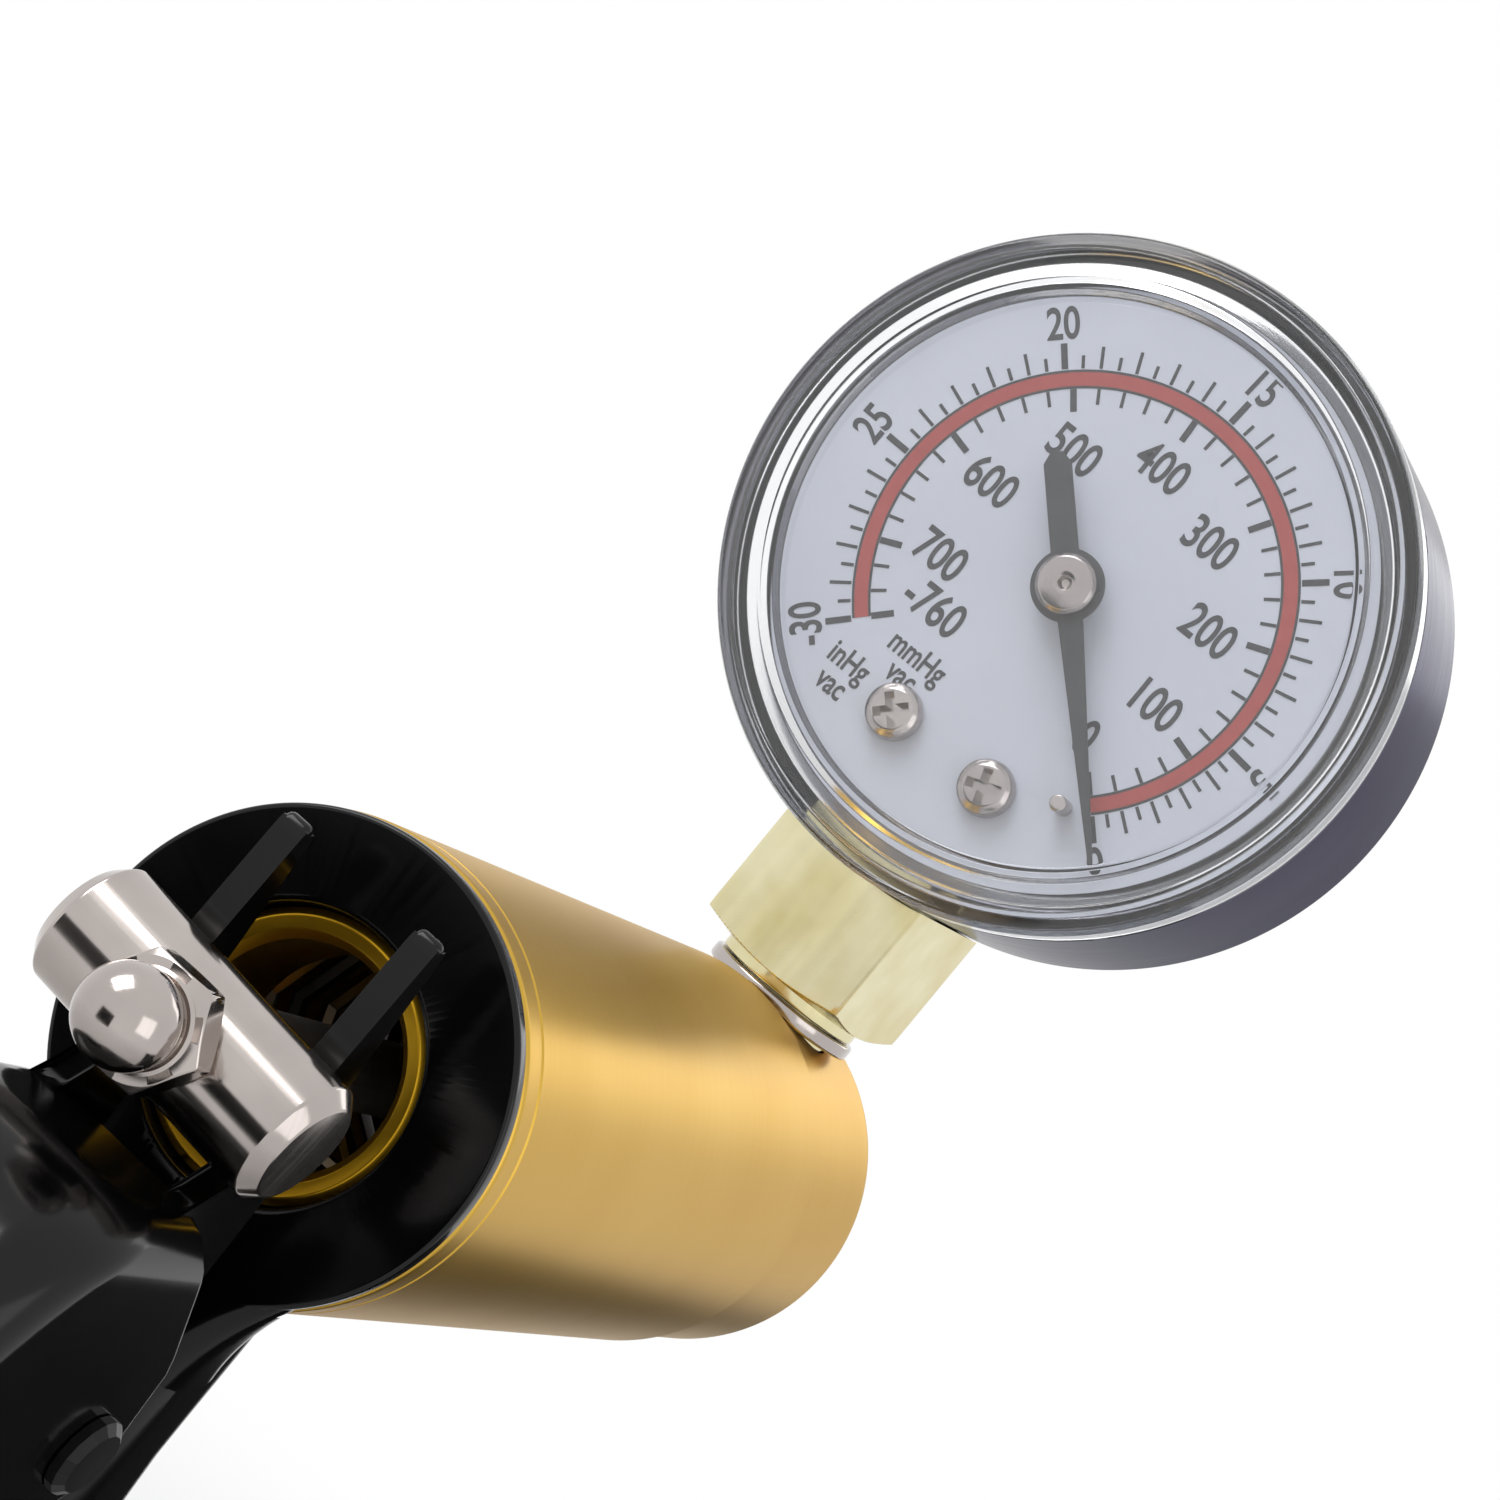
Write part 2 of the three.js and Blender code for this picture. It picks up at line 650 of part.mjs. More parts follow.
// One cheek with its prong, which stands between the collar and the cross bar.
function cheekOutline() {
  const reach = PIVOT_LOBE_R + 0.4;
  const shape = new THREE.Shape();
  shape.moveTo(prongRearY, 0);
  shape.lineTo(prongRearY + 0.7, PRONG_TIP_Z - 1);
  shape.quadraticCurveTo(prongRearY + 0.8, PRONG_TIP_Z, prongRearY + 1.4, PRONG_TIP_Z);
  shape.quadraticCurveTo(prongRearY + 2, PRONG_TIP_Z, prongRearY + 2.2, PRONG_TIP_Z - 1);
  shape.lineTo(prongRearY + 4.4, -2);
  shape.lineTo(PIVOT_Y + reach - 1, PIVOT_Z + 6);
  shape.lineTo(PIVOT_Y + reach, PIVOT_Z);
  shape.absarc(PIVOT_Y, PIVOT_Z, reach, 0, -Math.PI / 2, true);
  shape.lineTo(PIVOT_Y - 12, PIVOT_Z - 9);
  shape.lineTo(PIVOT_Y - 13, PIVOT_Z + 2);
  shape.lineTo(PIVOT_Y - 7, shoulderZ - 1);
  shape.lineTo(PIVOT_Y - 3.6, shoulderZ + 0.4);
  shape.lineTo(prongRearY - 0.2, shoulderZ + 2.4);
  shape.closePath();
  return shape;
}

function squeezeLever() {
  const half = LEVER_WIDTH / 2;
  const wallInner = half - LEVER_WALL;
  const body = cut(
    solid(alongX(leverOutline(), -half, half, 1.2)),
    solid(alongX(leverHollow(), -wallInner, wallInner)),
  );
  const cheeks = [-1, 1].map((side) => {
    const near = side * prongInner;
    const far = side * Math.max(prongOuter, wallInner + 0.1);
    return solid(alongX(cheekOutline(), Math.min(near, far), Math.max(near, far)));
  });
  const pinHole = rodShape(PIVOT_PIN_D / 2 + RUN, -half - 1, half + 1, MEDIUM, "x");
  return node(
    "squeeze_lever",
    cut(join(body, ...cheeks), solid(pinHole.translate(0, PIVOT_Y, PIVOT_Z))),
    BLACK,
  );
}

function pivotPin() {
  const half = LEVER_WIDTH / 2;
  const radius = PIVOT_PIN_D / 2;
  const mesh = node(
    "pivot_pin",
    turned(
      [
        [0, -half - 1.8],
        [radius - 0.4, -half - 1.8],
        [radius, -half - 1.4],
        [radius, half + SEAT],
        [radius + 1.2, half + SEAT],
        [radius + 1.2, half + 0.7],
        [radius + 0.6, half + 1.2],
        [0, half + 1.2],
      ],
      MEDIUM,
      "x",
    ),
    STEEL,
  );
  mesh.position.set(0, PIVOT_Y, PIVOT_Z);
  return mesh;
}

function pinClip() {
  const radius = PIVOT_PIN_D / 2;
  const half = LEVER_WIDTH / 2;
  const ring = solid(tubeShape(radius + 0.05, radius + 1.3, -half - 0.8, -half - SEAT, MEDIUM, "x"));
  const mouth = solid(box([-half - 2, 0, -radius * 0.7], [-half, radius + 3, radius * 0.7]));
  const mesh = node("pin_clip", cut(ring, mouth), STEEL);
  mesh.position.set(0, PIVOT_Y, PIVOT_Z);
  return mesh;
}

// ---------------------------------------------------------------- rod, cross bar and piston

function pistonRod() {
  const studEnd = CROSS_BAR_Y - crossBarR - DOME_NUT_HEX - 1;
  const frontStud = pistonDiscY;
  return node(
    "piston_rod",
    turned(
      [
        [0, studEnd],
        [studR - 0.3, studEnd],
        [studR, studEnd + 0.3],
        [studR, prongRearY],
        [rodR - 0.3, prongRearY],
        [rodR, prongRearY + 0.3],
        [rodR, frontStud],
        [studR, frontStud],
        [studR, pistonNutFrontY + 0.4],
        [0, pistonNutFrontY + 0.4],
      ],
      MEDIUM,
    ),
    STEEL,
  );
}

function crossBar() {
  const half = CROSS_BAR_LENGTH / 2;
  const edge = 0.9;
  const bar = turned(
    [
      [0, -half],
      [crossBarR - edge, -half],
      [crossBarR, -half + edge],
      [crossBarR, half - edge],
      [crossBarR - edge, half],
      [0, half],
    ],
    ROUND,
    "x",
  ).rotateY(-CROSS_BAR_TILT * DEG);
  const hole = rodShape(studR + RUN, -crossBarR - 1, crossBarR + 1, MEDIUM);
  const mesh = node("cross_bar", cut(solid(bar), solid(hole)), NICKEL);
  mesh.position.set(0, CROSS_BAR_Y, 0);
  return mesh;
}

function domeNut() {
  const hexY = CROSS_BAR_Y - crossBarR - SEAT;
  const ballR = DOME_D / 2;
  const ballY = hexY - DOME_NUT_HEX - ballR + 1;
  const ball = new THREE.SphereGeometry(ballR, MEDIUM, COARSE).translate(0, ballY, 0);
  const hole = rodShape(studR + RUN, hexY - DOME_NUT_HEX - 1, hexY + 1, MEDIUM);
  return node(
    "dome_nut",
    cut(join(solid(ball), solid(alongY(hexagon(DOME_NUT_FLATS), hexY - DOME_NUT_HEX, hexY))), solid(hole)),
    NICKEL,
  );
}

// Air holes round the rod, through the piston disc or the washer.
function airHoles(from, to) {
  return [30, 90, 150, 210, 270, 330].map((angle) => {
    const [x, z] = polar(pistonHoleRadius, angle);
    return solid(rodShape(0.8, from, to, 8).translate(x, 0, z));
  });
}

function pistonBody() {
  const bossEnd = cupY + CUP_LENGTH;
  const inner = studR + RUN;
  return node(
    "piston_body",
    cut(
      solid(
        turned(
          [
            [inner, pistonDiscY],
            [boreR - 0.7, pistonDiscY],
            [boreR - 0.7, pistonDiscY + PISTON_DISC],
            [pistonBossR, pistonDiscY + PISTON_DISC],
            [pistonBossR, bossEnd],
            [inner, bossEnd],
          ],
          ROUND,
        ),
      ),
      ...airHoles(pistonDiscY - 1, bossEnd + 1),
    ),
    STEEL,
  );
}

function pistonCup() {
  const lip = boreR - 0.15;
  return node(
    "piston_cup",
    turned(
      [
        [pistonBossR + RUN, cupY],
        [lip - 0.4, cupY],
        [lip, cupY + CUP_LENGTH],
        [lip - CUP_WALL, cupY + CUP_LENGTH],
        [lip - CUP_WALL - 0.6, cupY + CUP_WALL],
        [pistonBossR + RUN, cupY + CUP_WALL],
      ],
      ROUND,
    ),
    RUBBER,
  );
}

function pistonWasher() {
  const to = pistonWasherY + PISTON_WASHER_THICK;
  const washer = tubeShape(studR + RUN, boreR - PISTON_WASHER_GAP, pistonWasherY, to, ROUND);
  return node(
    "piston_washer",
    cut(solid(washer), ...airHoles(pistonWasherY - 1, to + 1)),
    STEEL,
  );
}

function pistonNut() {
  return node(
    "piston_nut",
    cut(
      solid(alongY(hexagon(PISTON_NUT_FLATS), pistonNutY, pistonNutFrontY)),
      solid(rodShape(studR + RUN, pistonNutY - 1, pistonNutFrontY + 1, MEDIUM)),
    ),
    STEEL,
  );
}

function exhaustValve() {
  return node(
    "exhaust_valve",
    tubeShape(rodR + RUN, pistonHoleRadius + 1.4, exhaustValveY, exhaustValveY + VALVE_DISC, MEDIUM),
    RUBBER,
  );
}

function valveClip() {
  return node("valve_clip", tubeShape(rodR + 0.05, rodR + 1.2, valveClipY - 0.7, valveClipY, MEDIUM), STEEL);
}

// A round wire wound between the guide ring's flange and the piston.
class Helix extends THREE.Curve {
  constructor(radius, from, to, turns) {
    super();
    Object.assign(this, { radius, from, to, turns });
  }

  getPoint(t, target = new THREE.Vector3()) {
    const angle = t * this.turns * Math.PI * 2;
    const y = this.from + (this.to - this.from) * t;
    return target.set(this.radius * Math.cos(angle), y, this.radius * Math.sin(angle));
  }
}

function returnSpring() {
  const wire = SPRING_WIRE / 2;
  const from = guideRingFrontY + GUIDE_RING_FLANGE + wire + FIT;
  const to = pistonDiscY - wire - FIT;
  const path = new Helix(SPRING_D / 2 - wire, from, to, SPRING_TURNS);
  const section = new THREE.Shape();
  section.absarc(0, 0, wire, 0, Math.PI * 2, false);
  const geometry = new THREE.ExtrudeGeometry(section, {
    extrudePath: path,
    steps: SPRING_TURNS * 10,
    curveSegments: 3,
  });
  return node("return_spring", geometry, STEEL);
}

// ---------------------------------------------------------------- gauge socket

function sealWasher() {
  const mesh = node(
    "seal_washer",
    tubeShape(portR, SEAL_WASHER_D / 2, washerZ, washerZ + SEAL_WASHER_THICK, MEDIUM, "z"),
    NICKEL,
  );
  mesh.position.set(0, stemY, 0);
  return mesh;
}

// The square of the socket, its lower corners turned off to a cone.
function socketBlock() {
  const half = BLOCK_WIDTH / 2;
  const top = blockZ + BLOCK_RISE + 2;
  const corner = half * Math.SQRT2;
  const rise = (corner - half) * Math.tan(BLOCK_CHAMFER * DEG);
  const cone = turned(
    [
      [0, blockZ],
      [half, blockZ],
      [corner, blockZ + rise],
      [corner + 0.5, blockZ + rise],
      [corner + 0.5, top],
      [0, top],
    ],
    ROUND,
    "z",
  );
  const square = solid(box([-half, -half, blockZ], [half, half, top]).rotateZ(BLOCK_TWIST * DEG));
  return square.intersect(solid(cone));
}

// One solid from the pipe thread in the head up to the seats for the dial and the works.
function gaugeSocket() {
  const threadR = PORT_THREAD_D / 2;
  const threadZ = registerZ - SOCKET_THREAD_LENGTH;
  const neck = SOCKET_NECK / 2;
  const headHalf = SOCKET_HEAD_WIDTH / 2;
  const headLow = gaugeZ + socketHeadLow;
  const headHigh = gaugeZ - SOCKET_HEAD_TOP;
  const caseRoom = rodShape(caseR + OPEN / 2, -CASE_MOUTH - 9, CASE_BACK + 9, FINE).translate(0, 0, gaugeZ);
  const thread = rodShape(threadR, threadZ, registerZ + 0.1, MEDIUM, "z");
  const register = rodShape(REGISTER_D / 2, registerZ, blockZ + 0.1, MEDIUM, "z");
  const seats = [-1, 1].map((side) => {
    const seat = rodShape(DIAL_SCREW_D / 2 + 0.55, dialBackY + SEAT, socketFrontY + 1, COARSE);
    return solid(seat.translate((side * DIAL_SCREW_SPREAD) / 2, 0, gaugeZ - DIAL_SCREW_DROP));
  });
  const seatHoles = [-1, 1].map((side) => {
    const hole = rodShape(DIAL_SCREW_D / 2 + 0.05, dialBackY - 1, dialBackY + 4.2, COARSE);
    return solid(hole.translate((side * DIAL_SCREW_SPREAD) / 2, 0, gaugeZ - DIAL_SCREW_DROP));
  });
  const screwHoles = plateScrewHeights().map((z) =>
    solid(rodShape(0.65, socketFrontY - 1, socketFrontY + 3, COARSE).translate(0, 0, gaugeZ + z)),
  );
  const head = solid(box([-headHalf, socketFrontY, headLow], [headHalf, socketBackY, headHigh]));
  return node(
    "gauge_socket",
    cut(
      join(
        solid(thread),
        solid(register),
        cut(socketBlock(), solid(caseRoom)),
        cut(
          solid(box([-neck, -neck, blockZ + BLOCK_RISE - 3], [neck, neck, headLow + 1])),
          solid(box([-neck - 1, -neck - 1, headLow - 0.5], [neck + 1, socketFrontY, headLow + 2])),
        ),
        head,
        ...seats,
      ),
      solid(rodShape(1.5, threadZ - 1, headHigh - 4, COARSE, "z").translate(0, tubeY, 0)),
      ...seatHoles,
      ...screwHoles,
    ),
    BRASS,
  );
}

// ---------------------------------------------------------------- gauge case, window and dial

function gaugeCase() {
  const neck = SOCKET_NECK / 2 + OPEN;
  const cup = turned(
    [
      [0, CASE_BACK],
      [caseR - CASE_EDGE, CASE_BACK],
      [caseR - CASE_EDGE * 0.3, CASE_BACK - CASE_EDGE * 0.3],
      [caseR, CASE_BACK - CASE_EDGE],
      [caseR, -CASE_MOUTH],
      [caseInnerR, -CASE_MOUTH],
      [caseInnerR, CASE_BACK - CASE_EDGE],
      [caseInnerR - CASE_EDGE, CASE_BACK - CASE_WALL],
      [0, CASE_BACK - CASE_WALL],
    ],
    FINE,
  );
  const slot = box([-neck, -neck, -caseR - 1], [neck, neck, -caseInnerR + 2]);
  return node("gauge_case", cut(solid(cup), solid(slot)), CHROME);
}

function gaugeLens() {
  const face = -LENS_FACE + LENS_SINK;
  const back = face + LENS_THICK;
  const rimBack = -LENS_FACE + LENS_RIM + 0.3;
  const skirtEnd = -DIAL_FACE - 0.2;
  return node(
    "gauge_lens",
    turned(
      [
        [0, face],
        [caseR - 4.9, face],
        [caseR - 3.6, -LENS_FACE],
        [caseR - 0.7, -LENS_FACE],
        [caseR, -LENS_FACE + 0.6],
        [caseR, rimBack],
        [lensSkirtR, rimBack],
        [lensSkirtR, skirtEnd],
        [lensSkirtInnerR, skirtEnd],
        [lensSkirtInnerR, back + 0.6],
        [lensSkirtInnerR - 1, back],
        [0, back],
      ],
      FINE,
    ),
    CLEAR,
  );
}

function gaugeDial() {
  const holes = [-1, 1].map((side) => {
    const hole = rodShape(DIAL_SCREW_D / 2 + FIT, -DIAL_FACE - 1, dialBackY + 1, COARSE);
    return solid(hole.translate((side * DIAL_SCREW_SPREAD) / 2, 0, -DIAL_SCREW_DROP));
  });
  const [pinX, pinZ] = polar(stopPinRadius, STOP_PIN_ANGLE);
  const pinHole = rodShape(STOP_PIN_D / 2 + 0.05, -DIAL_FACE - 1, dialBackY + 1, COARSE);
  return node(
    "gauge_dial",
    cut(
      solid(tubeShape(arborR + 0.6, dialR, -DIAL_FACE, dialBackY, FINE)),
      ...holes,
      solid(pinHole.translate(pinX, 0, pinZ)),
    ),
    WHITE,
  );
}

// A pan-head screw with a cross recess, its head towards -Y.
function panScrew(name, headR, headHeight, shankR, shankLength, recess) {
  const screw = turned(
    [
      [0, -headHeight],
      [headR * 0.45, -headHeight],
      [headR * 0.85, -headHeight * 0.72],
      [headR, -headHeight * 0.3],
      [headR, 0],
      [shankR, 0],
      [shankR, shankLength],
      [0, shankLength],
    ],
    MEDIUM,
  );
  const arm = headR * 0.55;
  const half = headR * 0.13;
  const cross = join(
    solid(box([-arm, -headHeight - 1, -half], [arm, -headHeight + recess, half])),
    solid(box([-half, -headHeight - 1, -arm], [half, -headHeight + recess, arm])),
  );
  return node(name, cut(solid(screw), cross), NICKEL);
}

function dialScrews() {
  return [
    ["dial_screw_left", -1],
    ["dial_screw_right", 1],
  ].map(([name, side]) => {
    const screw = panScrew(name, DIAL_SCREW_HEAD_D / 2, DIAL_SCREW_HEAD, DIAL_SCREW_D / 2 - 0.05, 4, 0.7);
    screw.position.set((side * DIAL_SCREW_SPREAD) / 2, -DIAL_FACE - SEAT / 2, -DIAL_SCREW_DROP);
    return screw;
  });
}

function stopPin() {
  const [x, z] = polar(stopPinRadius, STOP_PIN_ANGLE);
  const radius = STOP_PIN_D / 2;
  const mesh = node(
    "stop_pin",
    turned(
      [
        [0, -STOP_PIN_TOP],
        [radius - 0.15, -STOP_PIN_TOP],
        [radius, -STOP_PIN_TOP + 0.15],
        [radius, -DIAL_FACE + DIAL_THICK / 2],
        [radius, dialBackY + SEAT],
        [radius + 0.5, dialBackY + SEAT],
        [radius + 0.5, dialBackY + 0.6],
        [0, dialBackY + 0.6],
      ],
      COARSE,
    ),
    NICKEL,
  );
  mesh.position.set(x, 0, z);
  return mesh;
}

// ---------------------------------------------------------------- gauge works

const pillarPlaces = () => [
  ["movement_pillar_left", -PLATE_HALF_WIDTH + 1.1, PLATE_TOP - 1.2],
  ["movement_pillar_right", PLATE_HALF_WIDTH - 1.1, PLATE_TOP - 1.2],
  ["movement_pillar_lower", 0, (sectorPivotZ + plateScrewHeights()[0]) / 2],
];

function plateScrewHeights() {
  const middle = (socketHeadLow - SOCKET_HEAD_TOP) / 2;
  return [middle + PLATE_SCREW_PITCH / 2, middle - PLATE_SCREW_PITCH / 2];
}

function plateOutline(foot) {
  const half = PLATE_HALF_WIDTH;
  const waist = 2.6;
  return shapeOf([
    [-half, PLATE_TOP - 1],
    [-half + 1, PLATE_TOP],
    [half - 1, PLATE_TOP],
    [half, PLATE_TOP - 1],
    [half, -3],
    [waist, sectorPivotZ + 1],
    [waist, foot],
    [-waist, foot],
    [-waist, sectorPivotZ + 1],
    [-half, -3],
  ]);
}

function plateHoles(from, to) {
  const bearing = (z) => solid(rodShape(arborR + RUN, from, to, COARSE).translate(0, 0, z));
  return [bearing(0), bearing(sectorPivotZ)];
}

function movementPlates() {
  const plate = (name, y, foot, extra) =>
    node(
      name,
      cut(
        solid(alongY(plateOutline(foot), y, y + PLATE_THICK)),
        ...plateHoles(y - 1, y + PLATE_THICK + 1),
        ...extra,
      ),
      BRASS,
    );
  const screwHoles = plateScrewHeights().map((z) =>
    solid(rodShape(0.75, backPlateY - 1, backPlateY + PLATE_THICK + 1, COARSE).translate(0, 0, z)),
  );
  const lowest = plateScrewHeights()[1];
  return [
    plate("movement_back_plate", backPlateY, lowest - 1.6, screwHoles),
    plate("movement_front_plate", frontPlateY, sectorPivotZ - 4.2, []),
  ];
}

function movementPillars() {
  return pillarPlaces().map(([name, x, z]) => {
    const radius = PILLAR_D / 2;
    const pillar = rodShape(radius, frontPlateY + PLATE_THICK + SEAT, backPlateY - SEAT, COARSE);
    const mesh = node(name, pillar, BRASS);
    mesh.position.set(x, 0, z);
    return mesh;
  });
}

function movementScrews() {
  const names = ["movement_screw_upper", "movement_screw_lower"];
  return plateScrewHeights().map((z, i) => {
    const screw = panScrew(names[i], 1.2, 0.8, 0.55, 2.4, 0.4);
    screw.position.set(0, backPlateY - SEAT / 2, z);
    return screw;
  });
}

// One tooth standing on a pitch circle, as corners from its right foot to its left foot.
function tooth(pitchR, angle) {
  const widths = [
    [pitchR - toothFoot, toothHalf * 1.35],
    [pitchR, toothHalf],
    [pitchR + toothTop, toothHalf * 0.5],
  ];
  const right = widths.map(([r, w]) => polar(r, angle - w / r / DEG));
  const left = widths.map(([r, w]) => polar(r, angle + w / r / DEG)).reverse();
  return [...right, ...left];
}

function sectorGear() {
  const pitch = 360 / SECTOR_TEETH_PER_TURN;
  const first = 90 - pitch;
  const last = 90 + SECTOR_TRAVEL + pitch;
  const outline = [polar(1.5, first - 50)];
  for (let angle = first; angle <= last + 0.01; angle += pitch) outline.push(...tooth(sectorPitchR, angle));
  outline.push(polar(1.5, last + 40));
  const rim = solid(alongY(shapeOf(outline), sectorY, sectorY + SECTOR_THICK));
  const hub = solid(rodShape(1.6, sectorY - 0.4, sectorY + SECTOR_THICK + 0.4, MEDIUM));
  const [tailX, tailZ] = polar(TAIL_LENGTH, SECTOR_TRAVEL / 2);
  const tail = join(
    solid(box([0, sectorY, -0.8], [TAIL_LENGTH, sectorY + SECTOR_THICK, 0.8]).rotateY(-(SECTOR_TRAVEL / 2) * DEG)),
    solid(rodShape(1.1, sectorY, sectorY + SECTOR_THICK, COARSE).translate(tailX, 0, tailZ)),
  );
  const linkHole = rodShape(0.6, sectorY - 1, sectorY + 2, COARSE).translate(tailX, 0, tailZ);
  const arbor = rodShape(arborR, frontPlateY + 0.1, backPlateY + PLATE_THICK - 0.05, COARSE);
  const mesh = node(
    "sector_gear",
    join(cut(join(rim, tail), solid(linkHole)), hub, solid(arbor)),
    BRASS,
  );
  mesh.position.set(0, 0, sectorPivotZ);
  return mesh;
}

// The link from the sector's tail to the tip of the pressure tube, with its own tail pin.
function linkArm() {
  const [tailX, rise] = polar(TAIL_LENGTH, SECTOR_TRAVEL / 2);
  const far = [tipX - tailX, -rise];
  const length = Math.hypot(...far);
  const angle = Math.atan2(far[1], far[0]);
  const bar = join(
    solid(box([0, linkY, -0.7], [length - 1, linkY + 0.6, 0.7])),
    solid(rodShape(1, linkY, linkY + 0.6, COARSE)),
    solid(rodShape(1.7, linkY, linkY + 0.6, MEDIUM).translate(length, 0, 0)),
    solid(rodShape(0.45, sectorY - 0.4, linkY + 0.3, COARSE)),
  );
  const eye = solid(rodShape(1, linkY - 1, linkY + 2, COARSE).translate(length, 0, 0));
  const mesh = node("link_arm", cut(bar, eye), BRASS);
  mesh.position.set(tailX, 0, sectorPivotZ + rise);
  mesh.rotation.y = -angle;
  return mesh;
}

// The pinion on its arbor, which runs from the back plate to the pointer.
function pinionArbor() {
  const outline = [];
  for (let i = 0; i < PINION_TEETH; i += 1) {
    outline.push(...tooth(pinionPitchR, 270 + (i + 0.5) * (360 / PINION_TEETH)));
  }
  const gearFrom = sectorY - 0.3;
  const gear = solid(alongY(shapeOf(outline), gearFrom, sectorY + SECTOR_THICK + 0.3));
  const core = solid(
    turned(
      [
        [0, pointerY - 0.05],
        [arborR, pointerY - 0.05],
        [arborR, frontPlateY + PLATE_THICK + 0.2],
        [collarOfArborR, frontPlateY + PLATE_THICK + 0.2],
        [collarOfArborR, frontPlateY + PLATE_THICK + 0.9],
        [arborR, frontPlateY + PLATE_THICK + 0.9],
        [arborR, backPlateY + PLATE_THICK - 0.05],
        [0, backPlateY + PLATE_THICK - 0.05],
      ],
      COARSE,
    ),
  );
  return node("pinion_arbor", join(core, gear), BRASS);
}

// A flat spiral from beside the arbor's collar out to the left pillar.
class Spiral extends THREE.Curve {
  constructor(from, to, turns, endAngle) {
    super();
    Object.assign(this, { from, to, turns, endAngle });
  }

  getPoint(t, target = new THREE.Vector3()) {
    const angle = this.endAngle - (1 - t) * this.turns * Math.PI * 2;
    const radius = this.from + (this.to - this.from) * t;
    return target.set(radius * Math.cos(angle), 0, radius * Math.sin(angle));
  }
}

function hairspring() {
  const [, x, z] = pillarPlaces()[0];
  const reach = Math.hypot(x, z) - PILLAR_D / 2 - FIT;
  const path = new Spiral(collarOfArborR + FIT, reach, HAIRSPRING_TURNS, Math.atan2(z, x));
  const section = shapeOf([
    [-0.2, -0.07],
    [0.2, -0.07],
    [0.2, 0.07],
    [-0.2, 0.07],
  ]);
  const geometry = new THREE.ExtrudeGeometry(section, {
    extrudePath: path,
    steps: Math.round(HAIRSPRING_TURNS * 16),
  });
  const mesh = node("hairspring", geometry, STEEL);
  mesh.position.set(0, frontPlateY + PLATE_THICK + 0.55, 0);
  return mesh;
}

class Arc extends THREE.Curve {
  constructor(radius, from, to) {
    super();
    Object.assign(this, { radius, from, to });
  }

  getPoint(t, target = new THREE.Vector3()) {
    const [x, z] = polar(this.radius, this.from + (this.to - this.from) * t);
    return target.set(x, 0, z);
  }
}

// The curved pressure tube, from the side of the socket round to its free tip.
function bourdonTube() {
  const rootX = SOCKET_HEAD_WIDTH / 2 + TUBE_THICK * 0.2 + OPEN;
  const rootAngle = 180 + Math.acos(rootX / tubeR) / DEG;
  const half = TUBE_DEPTH / 2;
  const thick = TUBE_THICK / 2;
  const section = new THREE.Shape();
  section.absellipse(0, 0, half, thick, 0, Math.PI * 2, false, 0);
  const geometry = new THREE.ExtrudeGeometry(section, {
    extrudePath: new Arc(tubeR, rootAngle, tubeEndAngle),
    steps: 28,
    curveSegments: 5,
  });
  const mesh = node("bourdon_tube", geometry, BRASS);
  mesh.position.set(0, tubeY, 0);
  return mesh;
}

function bourdonTip() {
  const from = TUBE_END_GAP - 0.15;
  const halfThick = TUBE_THICK / 2 + 0.3;
  const half = TUBE_DEPTH / 2;
  const block = box([-halfThick, tubeY - half - 0.2, -1.4], [halfThick, tubeY + half + 0.2, from]);
  const pin = rodShape(0.5, linkY - 0.5, tubeY, COARSE);
  const mesh = node("bourdon_tip", join(solid(block.rotateY(-tipAngle * DEG)), solid(pin)), BRASS);
  mesh.position.set(tipX, 0, sectorPivotZ);
  return mesh;
}

// The pointer: a tapered blade, a round hub and a broad tail with cut corners.
function pointerPlate() {
  const tipHalf = 0.15;
  const rootHalf = 1.05;
  const blade = shapeOf([
    [-POINTER_TAIL, -0.5],
    [-POINTER_TAIL + 0.8, -rootHalf],
    [0, -rootHalf],
    [pointerLength, -tipHalf],
    [pointerLength, tipHalf],
    [0, rootHalf],
    [-POINTER_TAIL + 0.8, rootHalf],
    [-POINTER_TAIL, 0.5],
  ]);
  const to = pointerY + POINTER_THICK;
  const mesh = node(
    "pointer",
    cut(
      join(
        solid(alongY(blade, pointerY, to)),
        solid(rodShape(POINTER_HUB_D / 2, pointerY, to, MEDIUM)),
      ),
      solid(rodShape(arborR + 0.05, pointerY - 1, to + 1, COARSE)),
    ),
    DARK,
  );
  mesh.rotation.y = -POINTER_ZERO * DEG;
  return mesh;
}

function pointerCap() {
  const radius = POINTER_CAP_D / 2;
  const base = pointerY - SEAT - 0.05;
  return node(
    "pointer_cap",
    turned(
      [
        [0, base],
        [radius, base],
        [radius, base - 0.5],
        [radius - 0.35, base - 0.85],
        [0.35, base - 0.9],
        [0, base - 0.65],
      ],
      MEDIUM,
    ),
    NICKEL,
  );
}

// ---------------------------------------------------------------- assembly

const gauge = groupOf(
  gaugeCase(),
  gaugeLens(),
  gaugeDial(),
  ...dialScrews(),
  stopPin(),
  ...movementPlates(),
  ...movementPillars(),
  ...movementScrews(),
  sectorGear(),
  linkArm(),
  pinionArbor(),
  hairspring(),
  bourdonTube(),
  bourdonTip(),
  pointerPlate(),
  pointerCap(),
);
gauge.position.set(0, stemY, gaugeZ);

const socket = gaugeSocket();
socket.position.set(0, stemY, 0);

